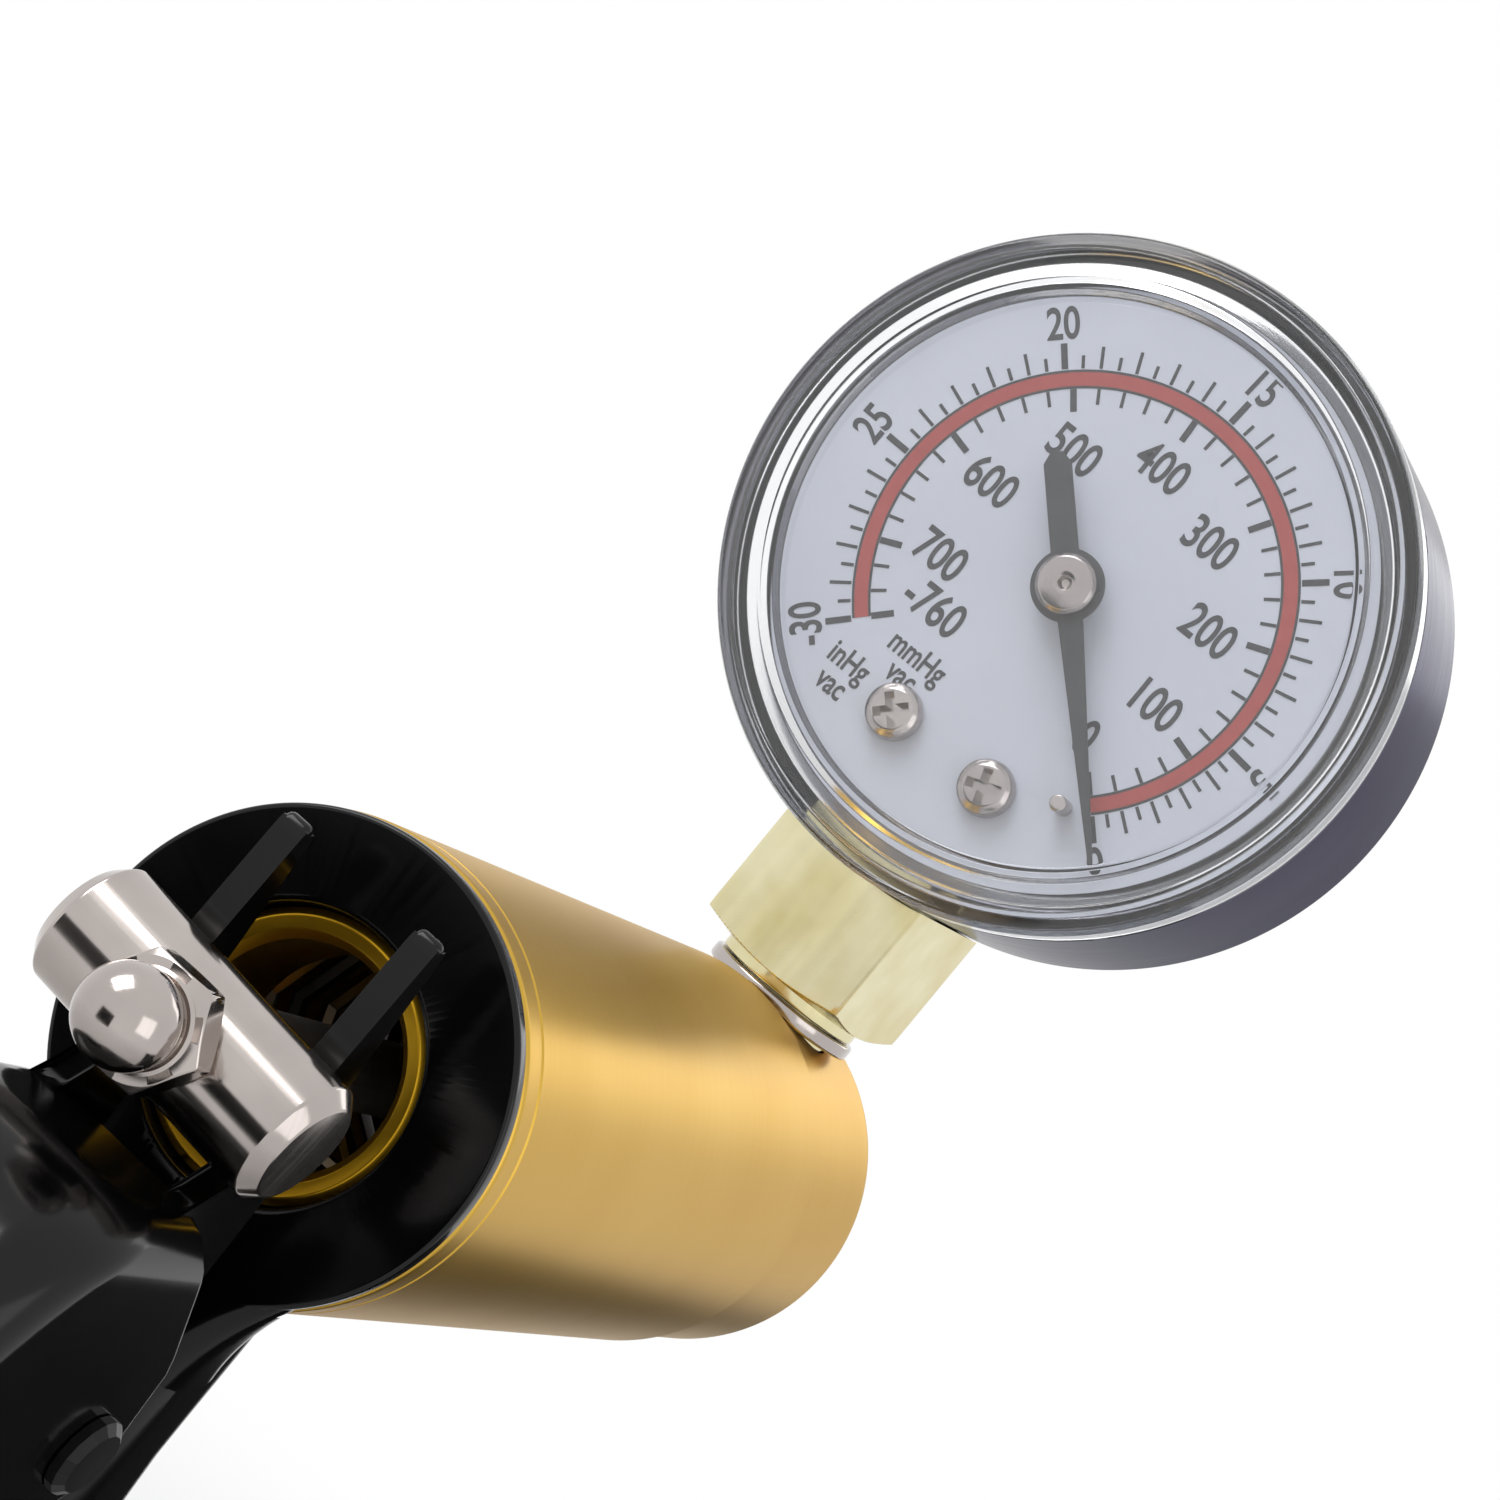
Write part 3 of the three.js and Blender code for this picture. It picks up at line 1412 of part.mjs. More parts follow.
const pump = groupOf(
  barrelTube(),
  frontHead(),
  headORing(),
  inletValve(),
  hoseBarb(),
  fixedHandle(),
  guideRing(),
  squeezeLever(),
  pivotPin(),
  pinClip(),
  pistonRod(),
  crossBar(),
  domeNut(),
  pistonBody(),
  pistonCup(),
  pistonWasher(),
  pistonNut(),
  exhaustValve(),
  valveClip(),
  returnSpring(),
  sealWasher(),
  socket,
  gauge,
);

// The origin is under the middle of the box that holds the pump.
const extent = new THREE.Box3().setFromObject(pump);
const middle = extent.getCenter(new THREE.Vector3());
pump.position.set(-middle.x, -middle.y, -extent.min.z);

export default groupOf(pump);
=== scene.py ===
"""A hand vacuum pump: fine meshes, finishes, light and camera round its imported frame.

Sizes are in millimetres, about the frame's own origin: +Z is up, towards the gauge, +Y is
the hose end and -Y the squeeze lever. Each class below is one sub-assembly of the pump.
"""

import json
import logging
import math
import random
from collections.abc import Sequence
from dataclasses import dataclass
from enum import Enum
from functools import cache

import bmesh
import bpy
from mathutils import Matrix, Vector


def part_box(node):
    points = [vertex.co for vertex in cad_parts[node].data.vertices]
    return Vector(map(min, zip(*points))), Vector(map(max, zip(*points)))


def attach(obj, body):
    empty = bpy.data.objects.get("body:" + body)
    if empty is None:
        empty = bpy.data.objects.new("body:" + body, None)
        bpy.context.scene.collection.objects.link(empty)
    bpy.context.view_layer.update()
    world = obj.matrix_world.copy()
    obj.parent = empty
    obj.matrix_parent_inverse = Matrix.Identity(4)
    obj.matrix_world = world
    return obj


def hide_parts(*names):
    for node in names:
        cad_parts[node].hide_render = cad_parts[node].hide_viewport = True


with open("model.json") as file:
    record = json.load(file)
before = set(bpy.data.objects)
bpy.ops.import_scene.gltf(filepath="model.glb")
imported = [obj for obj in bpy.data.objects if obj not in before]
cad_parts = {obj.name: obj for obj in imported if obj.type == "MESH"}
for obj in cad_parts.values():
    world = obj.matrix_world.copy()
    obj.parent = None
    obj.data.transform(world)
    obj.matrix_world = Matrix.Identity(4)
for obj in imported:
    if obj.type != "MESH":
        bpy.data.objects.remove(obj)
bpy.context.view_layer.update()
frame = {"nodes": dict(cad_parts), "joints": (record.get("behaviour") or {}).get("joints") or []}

MM = 0.001
CRISP = 32.0
FAR = 30.0
LOG = logging.getLogger("hand_pump")

Point = tuple[float, float]
Corner = tuple[float, float, float]
Place = tuple[float, float, float]


class Axis(Enum):
    """The direction that a piece is turned about or given its thickness along."""

    X = "x"
    Y = "y"
    Z = "z"

    def point(self, along: float, u: float, v: float) -> Vector:
        """Gives a point from its place along the axis and its two places across it.

        Args:
            along: Place along the axis.
            u: First place across it.
            v: Second place across it.

        Returns:
            The point.
        """
        if self is Axis.X:
            return Vector((along, u, v))
        if self is Axis.Y:
            return Vector((u, along, v))
        return Vector((u, v, along))


@dataclass(frozen=True)
class NodeBox:
    """The box that holds one CAD node, in millimetres."""

    low: Vector
    high: Vector

    @classmethod
    @cache
    def of(cls, node: str) -> "NodeBox":
        """Reads the box of a CAD node from the frame, once."""
        low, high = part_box(node)
        return cls((low / MM).freeze(), (high / MM).freeze())

    @property
    def middle(self) -> Vector:
        """The middle of the box."""
        return (self.low + self.high) / 2

    @property
    def size(self) -> Vector:
        """The box's extent along each axis."""
        return self.high - self.low


# ---------------------------------------------------------------- outlines


def polar(radius: float, angle: float) -> Point:
    """The point at a radius and an angle in degrees."""
    turn = math.radians(angle)
    return radius * math.cos(turn), radius * math.sin(turn)


class Outline:
    """A flat outline drawn with lines, curves and arcs."""

    def __init__(self, u: float, v: float) -> None:
        """Starts the outline.

        Args:
            u: First coordinate of the first point.
            v: Second coordinate of the first point.
        """
        self.points: list[Point] = [(u, v)]

    def line(self, u: float, v: float) -> None:
        """Draws a straight line to a point."""
        self.points.append((u, v))

    def curve(self, pull: Point, end: Point, steps: int = 14) -> None:
        """Draws a quadratic curve.

        Args:
            pull: The point that pulls the curve.
            end: Where the curve ends.
            steps: How many straight pieces stand for it.
        """
        start = Vector(self.points[-1])
        for step in range(1, steps + 1):
            t = step / steps
            point = start * (1 - t) ** 2 + Vector(pull) * (2 * t * (1 - t)) + Vector(end) * t**2
            self.points.append((point.x, point.y))

    def arc(self, centre: Point, radius: float, start: float, end: float, steps: int = 24) -> None:
        """Draws an arc.

        Args:
            centre: Centre of the arc.
            radius: Its radius.
            start: Angle in degrees where it starts.
            end: Angle in degrees where it ends.
            steps: How many straight pieces stand for it.
        """
        for step in range(steps + 1):
            u, v = polar(radius, start + (end - start) * step / steps)
            self.points.append((centre[0] + u, centre[1] + v))

    def moved(self, u: float, v: float) -> list[Point]:
        """Gives the points shifted to where the piece stands, with doubled points left out.

        Args:
            u: Shift of the first coordinate.
            v: Shift of the second coordinate.

        Returns:
            The shifted points.
        """
        kept: list[Point] = []
        for point in self.points:
            if not kept or math.dist(kept[-1], point) > 1e-4:
                kept.append(point)
        return [(a + u, b + v) for a, b in kept]


def eased(corners: Sequence[Corner], closed: bool = True, steps: int = 5) -> list[Point]:
    """Rounds the corners of an outline.

    Args:
        corners: Each corner with the radius that rounds it.
        closed: Whether the last corner joins the first.
        steps: How many straight pieces stand for each round.

    Returns:
        The points of the rounded outline.
    """
    points: list[Point] = []
    count = len(corners)
    for index, (u, v, radius) in enumerate(corners):
        here = Vector((u, v))
        before = Vector(corners[index - 1][:2]) - here
        after = Vector(corners[(index + 1) % count][:2]) - here
        is_end = not closed and index in (0, count - 1)
        if radius <= 0 or is_end or before.angle(after) > math.pi - 1e-3:
            points.append((u, v))
            continue
        half = before.angle(after) / 2
        reach = min(radius / math.tan(half), before.length * 0.49, after.length * 0.49)
        start = here + before.normalized() * reach
        end = here + after.normalized() * reach
        for step in range(steps + 1):
            t = step / steps
            point = start.lerp(here, t).lerp(here.lerp(end, t), t)
            points.append((point.x, point.y))
    return points


# ---------------------------------------------------------------- meshes


def linked(name: str, data: bpy.types.ID) -> bpy.types.Object:
    """Makes an object from its data and links it to the scene.

    Args:
        name: Name of the object.
        data: Its mesh, light, camera or text.

    Returns:
        The object.
    """
    obj = bpy.data.objects.new(name, data)
    bpy.context.scene.collection.objects.link(obj)
    return obj


def piece(name: str, made: bmesh.types.BMesh, angle: float = CRISP) -> bpy.types.Object:
    """Turns a bmesh in millimetres into an object in metres.

    Args:
        name: Name of the object and its mesh.
        made: The mesh, which is freed.
        angle: Edges sharper than this, in degrees, stay crisp.

    Returns:
        The new object, linked to the scene.
    """
    bmesh.ops.remove_doubles(made, verts=made.verts, dist=1e-4)
    bmesh.ops.recalc_face_normals(made, faces=made.faces)
    bmesh.ops.scale(made, vec=(MM, MM, MM), verts=made.verts)
    mesh = bpy.data.meshes.new(name)
    made.to_mesh(mesh)
    made.free()
    obj = linked(name, mesh)
    smooth(obj, angle)
    return obj


def smooth(obj: bpy.types.Object, angle: float = CRISP) -> None:
    """Shades an object smooth, with crisp edges where it turns sharply."""
    obj.data.shade_smooth()
    obj.data.set_sharp_from_angle(angle=math.radians(angle))


def turned(
    name: str,
    profile: Sequence[Point],
    axis: Axis,
    centre: Place = (0, 0, 0),
    sides: int = 128,
    closed: bool = False,
) -> bpy.types.Object:
    """Turns a half section about an axis.

    Args:
        name: Name of the piece.
        profile: Radius and height of each point of the half section.
        axis: The direction that it is turned about.
        centre: A point that the profile's origin is moved to.
        sides: How many flats stand for a full turn.
        closed: True for a ring, whose profile closes on itself off the axis.

    Returns:
        The turned object.
    """
    made = bmesh.new()
    rings: list[list[bmesh.types.BMVert]] = []
    for radius, height in profile:
        count = sides if radius > 1e-5 else 1
        ring = []
        for side in range(count):
            angle = 2 * math.pi * side / count
            at = axis.point(height, radius * math.cos(angle), radius * math.sin(angle))
            ring.append(made.verts.new(at + Vector(centre)))
        rings.append(ring)
    if closed:
        rings.append(rings[0])
    for lower, upper in zip(rings, rings[1:]):
        for side in range(max(len(lower), len(upper))):
            corners = [
                lower[side % len(lower)],
                lower[(side + 1) % len(lower)],
                upper[(side + 1) % len(upper)],
                upper[side % len(upper)],
            ]
            distinct = list(dict.fromkeys(corners))
            if len(distinct) > 2:
                made.faces.new(distinct)
    return piece(name, made)


def prism(
    name: str,
    outline: Sequence[Point],
    axis: Axis,
    low: float,
    high: float,
    edge: float = 0,
    steps: int = 4,
) -> bpy.types.Object:
    """Gives an outline its thickness, with rounded edges.

    Args:
        name: Name of the piece.
        outline: Points of the outline, in order round it.
        axis: The direction of the thickness.
        low: Where the thickness starts.
        high: Where it ends.
        edge: Radius that rounds both faces' edges.
        steps: How many flats stand for each round.

    Returns:
        The object.
    """
    made = bmesh.new()
    near = [made.verts.new(axis.point(low, u, v)) for u, v in outline]
    far = [made.verts.new(axis.point(high, u, v)) for u, v in outline]
    caps = [made.faces.new(near), made.faces.new(far)]
    count = len(outline)
    for index in range(count):
        after = (index + 1) % count
        made.faces.new([near[index], near[after], far[after], far[index]])
    if edge > 0:
        rims = list({rim for cap in caps for rim in cap.edges})
        bmesh.ops.bevel(made, geom=rims, offset=edge, segments=steps, profile=0.5, affect="EDGES")
    return piece(name, made)


def lofted(
    name: str, rings: Sequence[Sequence[Vector]], angle: float = CRISP, hollow: bool = False
) -> bpy.types.Object:
    """Joins rings of points in turn.

    Args:
        name: Name of the piece.
        rings: Rings with the same number of points each.
        angle: Edges sharper than this, in degrees, stay crisp.
        hollow: True where the last ring joins the first, and False where both are closed.

    Returns:
        The object.
    """
    made = bmesh.new()
    loops = [[made.verts.new(point) for point in ring] for ring in rings]
    following = loops[1:] + loops[:1] if hollow else loops[1:]
    for lower, upper in zip(loops, following):
        for index in range(len(lower)):
            after = (index + 1) % len(lower)
            made.faces.new([lower[index], lower[after], upper[after], upper[index]])
    if not hollow:
        made.faces.new(loops[0])
        made.faces.new(loops[-1])
    return piece(name, made, angle)


def drill(
    name: str, radius: float, low: float, high: float, axis: Axis, centre: Place, sides: int = 48
) -> bpy.types.Object:
    """Makes a plain cylinder that cuts a hole.

    Args:
        name: Name of the tool.
        radius: Radius of the hole.
        low: Where it starts along its axis.
        high: Where it ends.
        axis: Direction of the hole.
        centre: A point that the hole's origin is moved to.
        sides: How many flats stand for a full turn.

    Returns:
        The tool.
    """
    return turned(name, [(0, low), (radius, low), (radius, high), (0, high)], axis, centre, sides)


def swung(obj: bpy.types.Object, turn: float, place: Sequence[float]) -> bpy.types.Object:
    """Turns a piece about Y.

    Args:
        obj: The piece.
        turn: How far it turns, in degrees.
        place: Where its origin then goes, in millimetres.

    Returns:
        The piece.
    """
    spin = Matrix.Rotation(math.radians(turn), 4, "Y")
    obj.data.transform(Matrix.Translation(Vector(place) * MM) @ spin)
    return obj


def settle(obj: bpy.types.Object) -> bpy.types.Object:
    """Applies an object's modifiers.

    Args:
        obj: The object, which gets a new mesh.

    Returns:
        The object.
    """
    graph = bpy.context.evaluated_depsgraph_get()
    mesh = bpy.data.meshes.new_from_object(obj.evaluated_get(graph))
    obj.modifiers.clear()
    obj.data = mesh
    return obj


class Join(Enum):
    """How a tool changes the body that it meets."""

    ADD = "UNION"
    CUT = "DIFFERENCE"


def worked(body: bpy.types.Object, how: Join, *tools: bpy.types.Object) -> bpy.types.Object:
    """Adds solids to a body or cuts them out of it.

    Args:
        body: The piece that is changed.
        how: What the tools do.
        tools: The tools, which are used up.

    Returns:
        The changed body.
    """
    for tool in tools:
        change = body.modifiers.new("work", "BOOLEAN")
        change.operation = how.value
        change.solver = "EXACT"
        change.object = tool
    settle(body)
    for tool in tools:
        bpy.data.objects.remove(tool)
    smooth(body)
    return body


def level(z: float, rear: float, front: float, half: float, edges: Point) -> list[Vector]:
    """One level of a moulded grip: a rectangle with rounded corners.

    Args:
        z: Height below the barrel's axis.
        rear: Its rear edge, from the collar's rear face.
        front: Its front edge.
        half: Half its width.
        edges: Radii of its rear and its front corners.

    Returns:
        The points of the ring.
    """
    back, nose = (min(edge, half * 0.96, (front - rear) * 0.48) for edge in edges)
    ring = []
    for turn, x, y, radius in (
        (0, half - nose, front - nose, nose),
        (90, -half + nose, front - nose, nose),
        (180, -half + back, rear + back, back),
        (270, half - back, rear + back, back),
    ):
        for step in range(9):
            u, v = polar(radius, turn + step * 11.25)
            ring.append(Vector((x + u, y + v + DATUM.collar_y, z + DATUM.axis_z)))
    return ring


def rounded_inset(edge: float, left: float) -> float:
    """How far a rounded end has drawn in, at a distance short of its face.

    Args:
        edge: Radius of the end's rounding.
        left: Distance that is left to its face.

    Returns:
        The inset, which is 0 beyond the rounding.
    """
    if left >= edge:
        return 0.0
    return edge - math.sqrt(max(edge**2 - (edge - left) ** 2, 0.0))


def at_height(line: Sequence[Point], height: float) -> float:
    """Reads where a line that runs downwards stands at a height.

    Args:
        line: Points of the line, from the top down.
        height: The height.

    Returns:
        Where the line stands at that height.
    """
    for (high, top), (low, bottom) in zip(line, line[1:]):
        if bottom <= height <= top and top > bottom:
            return high + (low - high) * (top - height) / (top - bottom)
    return line[-1][0]


def merged(name: str, parts: Sequence[bpy.types.Object]) -> bpy.types.Object:
    """Puts several meshes into one object, side by side.

    Args:
        name: Name of the object.
        parts: The meshes, which are used up.

    Returns:
        The object.
    """
    made = bmesh.new()
    for part in parts:
        made.from_mesh(part.data)
        bpy.data.objects.remove(part)
    bmesh.ops.scale(made, vec=(1 / MM, 1 / MM, 1 / MM), verts=made.verts)
    return piece(name, made)


def soft_least(first: float, second: float, blend: float) -> float:
    """The smaller of two radii, with the edge where they meet rounded off.

    Args:
        first: One radius.
        second: The other radius.
        blend: How far the edge is rounded off.

    Returns:
        The blended radius.
    """
    least = min(first, second)
    return least - blend * math.log(
        math.exp((least - first) / blend) + math.exp((least - second) / blend)
    )


# ---------------------------------------------------------------- finishes


def linear(colour: str) -> tuple[float, float, float, float]:
    """Turns an sRGB hex colour into linear red, green, blue and alpha."""
    parts = [int(colour[i : i + 2], 16) / 255 for i in (1, 3, 5)]
    return (*[c / 12.92 if c <= 0.04045 else ((c + 0.055) / 1.055) ** 2.4 for c in parts], 1.0)


def per_metre(millimetres: float) -> float:
    """Texture scale whose cells have that size."""
    return 1 / (millimetres * MM)


def add(
    tree: bpy.types.NodeTree, kind: str, inputs: dict | None = None, **settings: object
) -> bpy.types.Node:
    """Adds a node to a tree.

    Args:
        tree: The node tree.
        kind: The node's type name.
        inputs: Sockets by name or number, each with a value or the socket that feeds it.
        settings: The node's own settings.

    Returns:
        The new node.
    """
    node = tree.nodes.new(kind)
    for key, value in settings.items():
        setattr(node, key, value)
    for key, value in (inputs or {}).items():
        if isinstance(value, bpy.types.NodeSocket):
            tree.links.new(value, node.inputs[key])
        else:
            node.inputs[key].default_value = value
    return node


@dataclass(frozen=True)
class Finish:
    """What every finish shares: a name, a colour and how the surface meets light."""

    name: str
    colour: str
    shade: str
    roughness: float
    metallic: float = 0.0
    ior: float = 1.5
    grain: float = 1.0
    relief: float = 0.1
    edge_tint: str = "#FFFFFF"

    def start(
        self,
    ) -> tuple[bpy.types.Material, bpy.types.NodeTree, bpy.types.Node, bpy.types.NodeSocket]:
        """Makes the material with its shader's plain values.

        Returns:
            The material, its tree, its shader and the coordinates in metres.
        """
        material = bpy.data.materials.new(self.name)
        material.use_nodes = True
        tree = material.node_tree
        shader = tree.nodes["Principled BSDF"]
        shader.inputs["Base Color"].default_value = linear(self.colour)
        shader.inputs["Roughness"].default_value = self.roughness
        shader.inputs["Metallic"].default_value = self.metallic
        shader.inputs["Specular Tint"].default_value = linear(self.edge_tint)
        if self.metallic < 1:
            shader.inputs["IOR"].default_value = self.ior
        place = add(tree, "ShaderNodeTexCoord").outputs["Object"]
        return material, tree, shader, place

    def cloud(
        self, tree: bpy.types.NodeTree, place: bpy.types.NodeSocket, size: float, detail: float = 3
    ) -> bpy.types.NodeSocket:
        """Adds soft noise of a size in millimetres and gives its value."""
        inputs = {"Vector": place, "Scale": per_metre(size), "Detail": detail, "Roughness": 0.55}
        return add(tree, "ShaderNodeTexNoise", inputs).outputs["Fac"]

    def blended(
        self,
        tree: bpy.types.NodeTree,
        amount: bpy.types.NodeSocket,
        low: float = 0.35,
        high: float = 0.65,
    ) -> bpy.types.NodeSocket:
        """Mixes the colour and its shade by a value between two levels.

        Args:
            tree: The node tree.
            amount: The value that mixes them.
            low: Where the colour ends.
            high: Where the shade is full.

        Returns:
            The mixed colour.
        """
        span = {"Value": amount, "From Min": low, "From Max": high}
        level = add(tree, "ShaderNodeMapRange", span).outputs["Result"]
        mix = add(tree, "ShaderNodeMix", {"Factor": level}, data_type="RGBA")
        mix.inputs[6].default_value = linear(self.colour)
        mix.inputs[7].default_value = linear(self.shade)
        return mix.outputs[2]

    def ranged(
        self, tree: bpy.types.NodeTree, amount: bpy.types.NodeSocket, low: float, high: float
    ) -> bpy.types.NodeSocket:
        """Spreads a noise value between two limits."""
        span = {"Value": amount, "From Min": 0.3, "From Max": 0.7, "To Min": low, "To Max": high}
        return add(tree, "ShaderNodeMapRange", span).outputs["Result"]

    def bumped(
        self,
        tree: bpy.types.NodeTree,
        shader: bpy.types.Node,
        height: bpy.types.NodeSocket,
        depth: float,
    ) -> None:
        """Feeds the shader's normal with a height of a depth in millimetres.

        Args:
            tree: The node tree.
            shader: The shader whose normal is fed.
            height: The height.
            depth: Depth in millimetres of a height of 1.
        """
        inputs = {"Height": height, "Distance": depth * MM, "Strength": 1.0}
        bump = add(tree, "ShaderNodeBump", inputs)
        tree.links.new(bump.outputs["Normal"], shader.inputs["Normal"])

    def build(self) -> bpy.types.Material:
        """Builds the finish: a mottled colour, uneven gloss and a fine relief.

        Returns:
            The finished material.
        """
        material, tree, shader, place = self.start()
        wide = self.cloud(tree, place, self.grain * 8)
        fine = self.cloud(tree, place, self.grain, 5)
        tree.links.new(self.blended(tree, wide), shader.inputs["Base Color"])
        gloss = self.ranged(tree, wide, self.roughness * 0.85, self.roughness * 1.15)
        tree.links.new(gloss, shader.inputs["Roughness"])
        self.bumped(tree, shader, fine, self.relief)
        return material


@dataclass(frozen=True)
class TurnedAluminium(Finish):
    """Aluminium turned on a lathe and anodised gold: rings of tool marks under a satin dye."""

    mark: float = 0.3
    turn: Axis = Axis.Y

    def build(self) -> bpy.types.Material:
        """Builds turning marks that ring the axis, and a dye that pools slightly.

        Returns:
            The finished material.
        """
        material, tree, shader, place = self.start()
        along = per_metre(self.mark)
        around = per_metre(14)
        scale = self.turn.point(along, around, around)
        rings = add(tree, "ShaderNodeMapping", {"Vector": place, "Scale": scale})
        lines = {"Vector": rings.outputs["Vector"], "Scale": 1.0, "Detail": 2.0}
        marks = add(tree, "ShaderNodeTexNoise", lines).outputs["Fac"]
        pooled = self.cloud(tree, place, 26, 2)
        tree.links.new(self.blended(tree, pooled, 0.3, 0.75), shader.inputs["Base Color"])
        gloss = self.ranged(tree, marks, self.roughness * 0.95, self.roughness * 1.05)
        tree.links.new(gloss, shader.inputs["Roughness"])
        self.bumped(tree, shader, marks, self.relief)
        return material


@dataclass(frozen=True)
class PlatedMetal(Finish):
    """A bright plate over polished metal: cloudy gloss, hairline scratches and a few pits."""

    pits: float = 0.5
    pit_size: float = 0.12

    def build(self) -> bpy.types.Material:
        """Builds clouded gloss with hairlines and pits.

        Returns:
            The finished material.
        """
        material, tree, shader, place = self.start()
        wide = self.cloud(tree, place, self.grain * 6)
        tree.links.new(self.blended(tree, wide), shader.inputs["Base Color"])
        skew = {"Vector": place, "Rotation": (0.6, 0.9, 0.3), "Scale": (60.0, per_metre(0.12), 60.0)}
        lines = add(tree, "ShaderNodeMapping", skew).outputs["Vector"]
        thin = {"Vector": lines, "Scale": 1.0, "Detail": 1.0}
        hair = add(tree, "ShaderNodeTexNoise", thin).outputs["Fac"]
        gloss = self.ranged(tree, hair, self.roughness * 0.7, self.roughness * 1.35)
        tree.links.new(gloss, shader.inputs["Roughness"])
        cells = {"Vector": place, "Scale": per_metre(self.grain)}
        dots = add(tree, "ShaderNodeTexVoronoi", cells, feature="F1").outputs["Distance"]
        span = {"Value": dots, "From Max": self.pit_size * self.pits}
        pit = add(tree, "ShaderNodeMapRange", span).outputs["Result"]
        ripple = self.cloud(tree, place, self.grain * 2.5, 2)
        total = add(tree, "ShaderNodeMath", {0: pit, 1: ripple}, operation="ADD").outputs[0]
        self.bumped(tree, shader, total, self.relief)
        return material


@dataclass(frozen=True)
class ClearMoulding(Finish):
    """Clear moulded plastic: transparent to lamps, scuffed, and frosted outside its face."""

    scuffed: float = 0.12
    frost: float = 0.11
    frost_from: float = 21.9
    frost_fade: float = 0.4

    def build(self) -> bpy.types.Material:
        """Builds a clear body with scuffs, which lets lamp light through to what it covers.

        Returns:
            The finished material.
        """
        material, tree, shader, place = self.start()
        shader.inputs["Transmission Weight"].default_value = 1.0
        skew = {"Vector": place, "Rotation": (0.0, 0.7, 0.0), "Scale": (per_metre(0.25), 80.0, 90.0)}
        lines = add(tree, "ShaderNodeMapping", skew).outputs["Vector"]
        rough = {"Vector": lines, "Scale": 1.0, "Detail": 3.0}
        scuff = add(tree, "ShaderNodeTexNoise", rough).outputs["Fac"]
        span = {"Value": scuff, "From Min": 0.66, "From Max": 0.8}
        limits = {"To Min": self.roughness, "To Max": self.scuffed}
        worn = add(tree, "ShaderNodeMapRange", span | limits).outputs["Result"]
        centre = (0.0, 0.0, DATUM.gauge.z * MM)
        off = add(tree, "ShaderNodeVectorMath", {0: place, 1: centre}, operation="SUBTRACT")
        across = {0: off.outputs["Vector"], 1: (1.0, 0.0, 1.0)}
        flat = add(tree, "ShaderNodeVectorMath", across, operation="MULTIPLY").outputs["Vector"]
        reach = add(tree, "ShaderNodeVectorMath", {0: flat}, operation="LENGTH").outputs["Value"]
        start, end = self.frost_from * MM, (self.frost_from + self.frost_fade) * MM
        edge = {"Value": reach, "From Min": start, "From Max": end, "To Max": self.frost}
        ring = add(tree, "ShaderNodeMapRange", edge).outputs["Result"]
        gloss = add(tree, "ShaderNodeMath", {0: worn, 1: ring}, operation="MAXIMUM").outputs[0]
        tree.links.new(gloss, shader.inputs["Roughness"])
        self.bumped(tree, shader, self.cloud(tree, place, self.grain * 6, 1), self.relief)
        path = add(tree, "ShaderNodeLightPath")
        clear = add(tree, "ShaderNodeBsdfTransparent", {"Color": linear(self.shade)})
        inputs = {0: path.outputs["Is Shadow Ray"], 1: shader.outputs["BSDF"], 2: clear.outputs["BSDF"]}
        mix = add(tree, "ShaderNodeMixShader", inputs)
        output = tree.nodes["Material Output"]
        tree.links.new(mix.outputs["Shader"], output.inputs["Surface"])
        return material


@dataclass(frozen=True)
class ScreenInk(Finish):
    """Screen-printed ink: flat colour whose density wavers a little."""

    def build(self) -> bpy.types.Material:
        """Builds ink with a wavering density.

        Returns:
            The finished material.
        """
        material, tree, shader, place = self.start()
        density = self.cloud(tree, place, self.grain, 4)
        tree.links.new(self.blended(tree, density, 0.3, 0.75), shader.inputs["Base Color"])
        return material


# Anodised and dyed aluminium: satin gold, warm in the middle and paler at grazing angles.
GOLD = TurnedAluminium(
    "gold_anodised_aluminium", "#CBA74F", "#C1993A", 0.35, 1.0, relief=0.00003, edge_tint="#F4ECE4"
)
# Painted shade: the barrel's gold dye, made deeper and more yellow for the ring that sits in the
# collar's shade.
COLLAR_SHADE_GOLD = TurnedAluminium("gold_ring_painted_shade", "#DBAE2C", "#B98A1C", 0.3, 1.0, relief=0.0012)
# Polished moulded ABS: deep black with soft grey reflections and a faint orange peel.
BLACK = Finish("black_moulded_abs", "#050506", "#09090A", 0.15, 0.0, 1.36, grain=1.6, relief=0.0015)
# Nickel plate on turned steel: bright and slightly warm.
NICKEL = PlatedMetal("bright_nickel_plate", "#BCB4AF", "#ADA5A1", 0.14, 1.0, grain=1.4, relief=0.0015)
# Bright dipped brass: pale yellow with cloudy reflections and tiny pits.
BRASS = PlatedMetal("bright_dipped_brass", "#E3DCB6", "#D0C38E", 0.16, 1.0, grain=1.6, relief=0.004)
# Plain brass of the works: yellower and duller.
CLOCK_BRASS = TurnedAluminium(
    "stamped_clock_brass", "#C9A85A", "#B5913F", 0.3, 1.0, mark=0.2, relief=0.0015
)
# Chrome plate on pressed steel: a grey mirror with a faint ripple.
CHROME = PlatedMetal(
    "chrome_plate_on_steel",
    "#7F7D85",
    "#75737B",
    0.16,
    1.0,
    grain=3.0,
    relief=0.0006,
    edge_tint="#8E8E96",
    pits=0.2,
)
# Drawn steel: grey with fine lines along the rod.
STEEL = TurnedAluminium("drawn_steel", "#A6A6A8", "#8E8E91", 0.3, 1.0, mark=0.2, relief=0.0015)
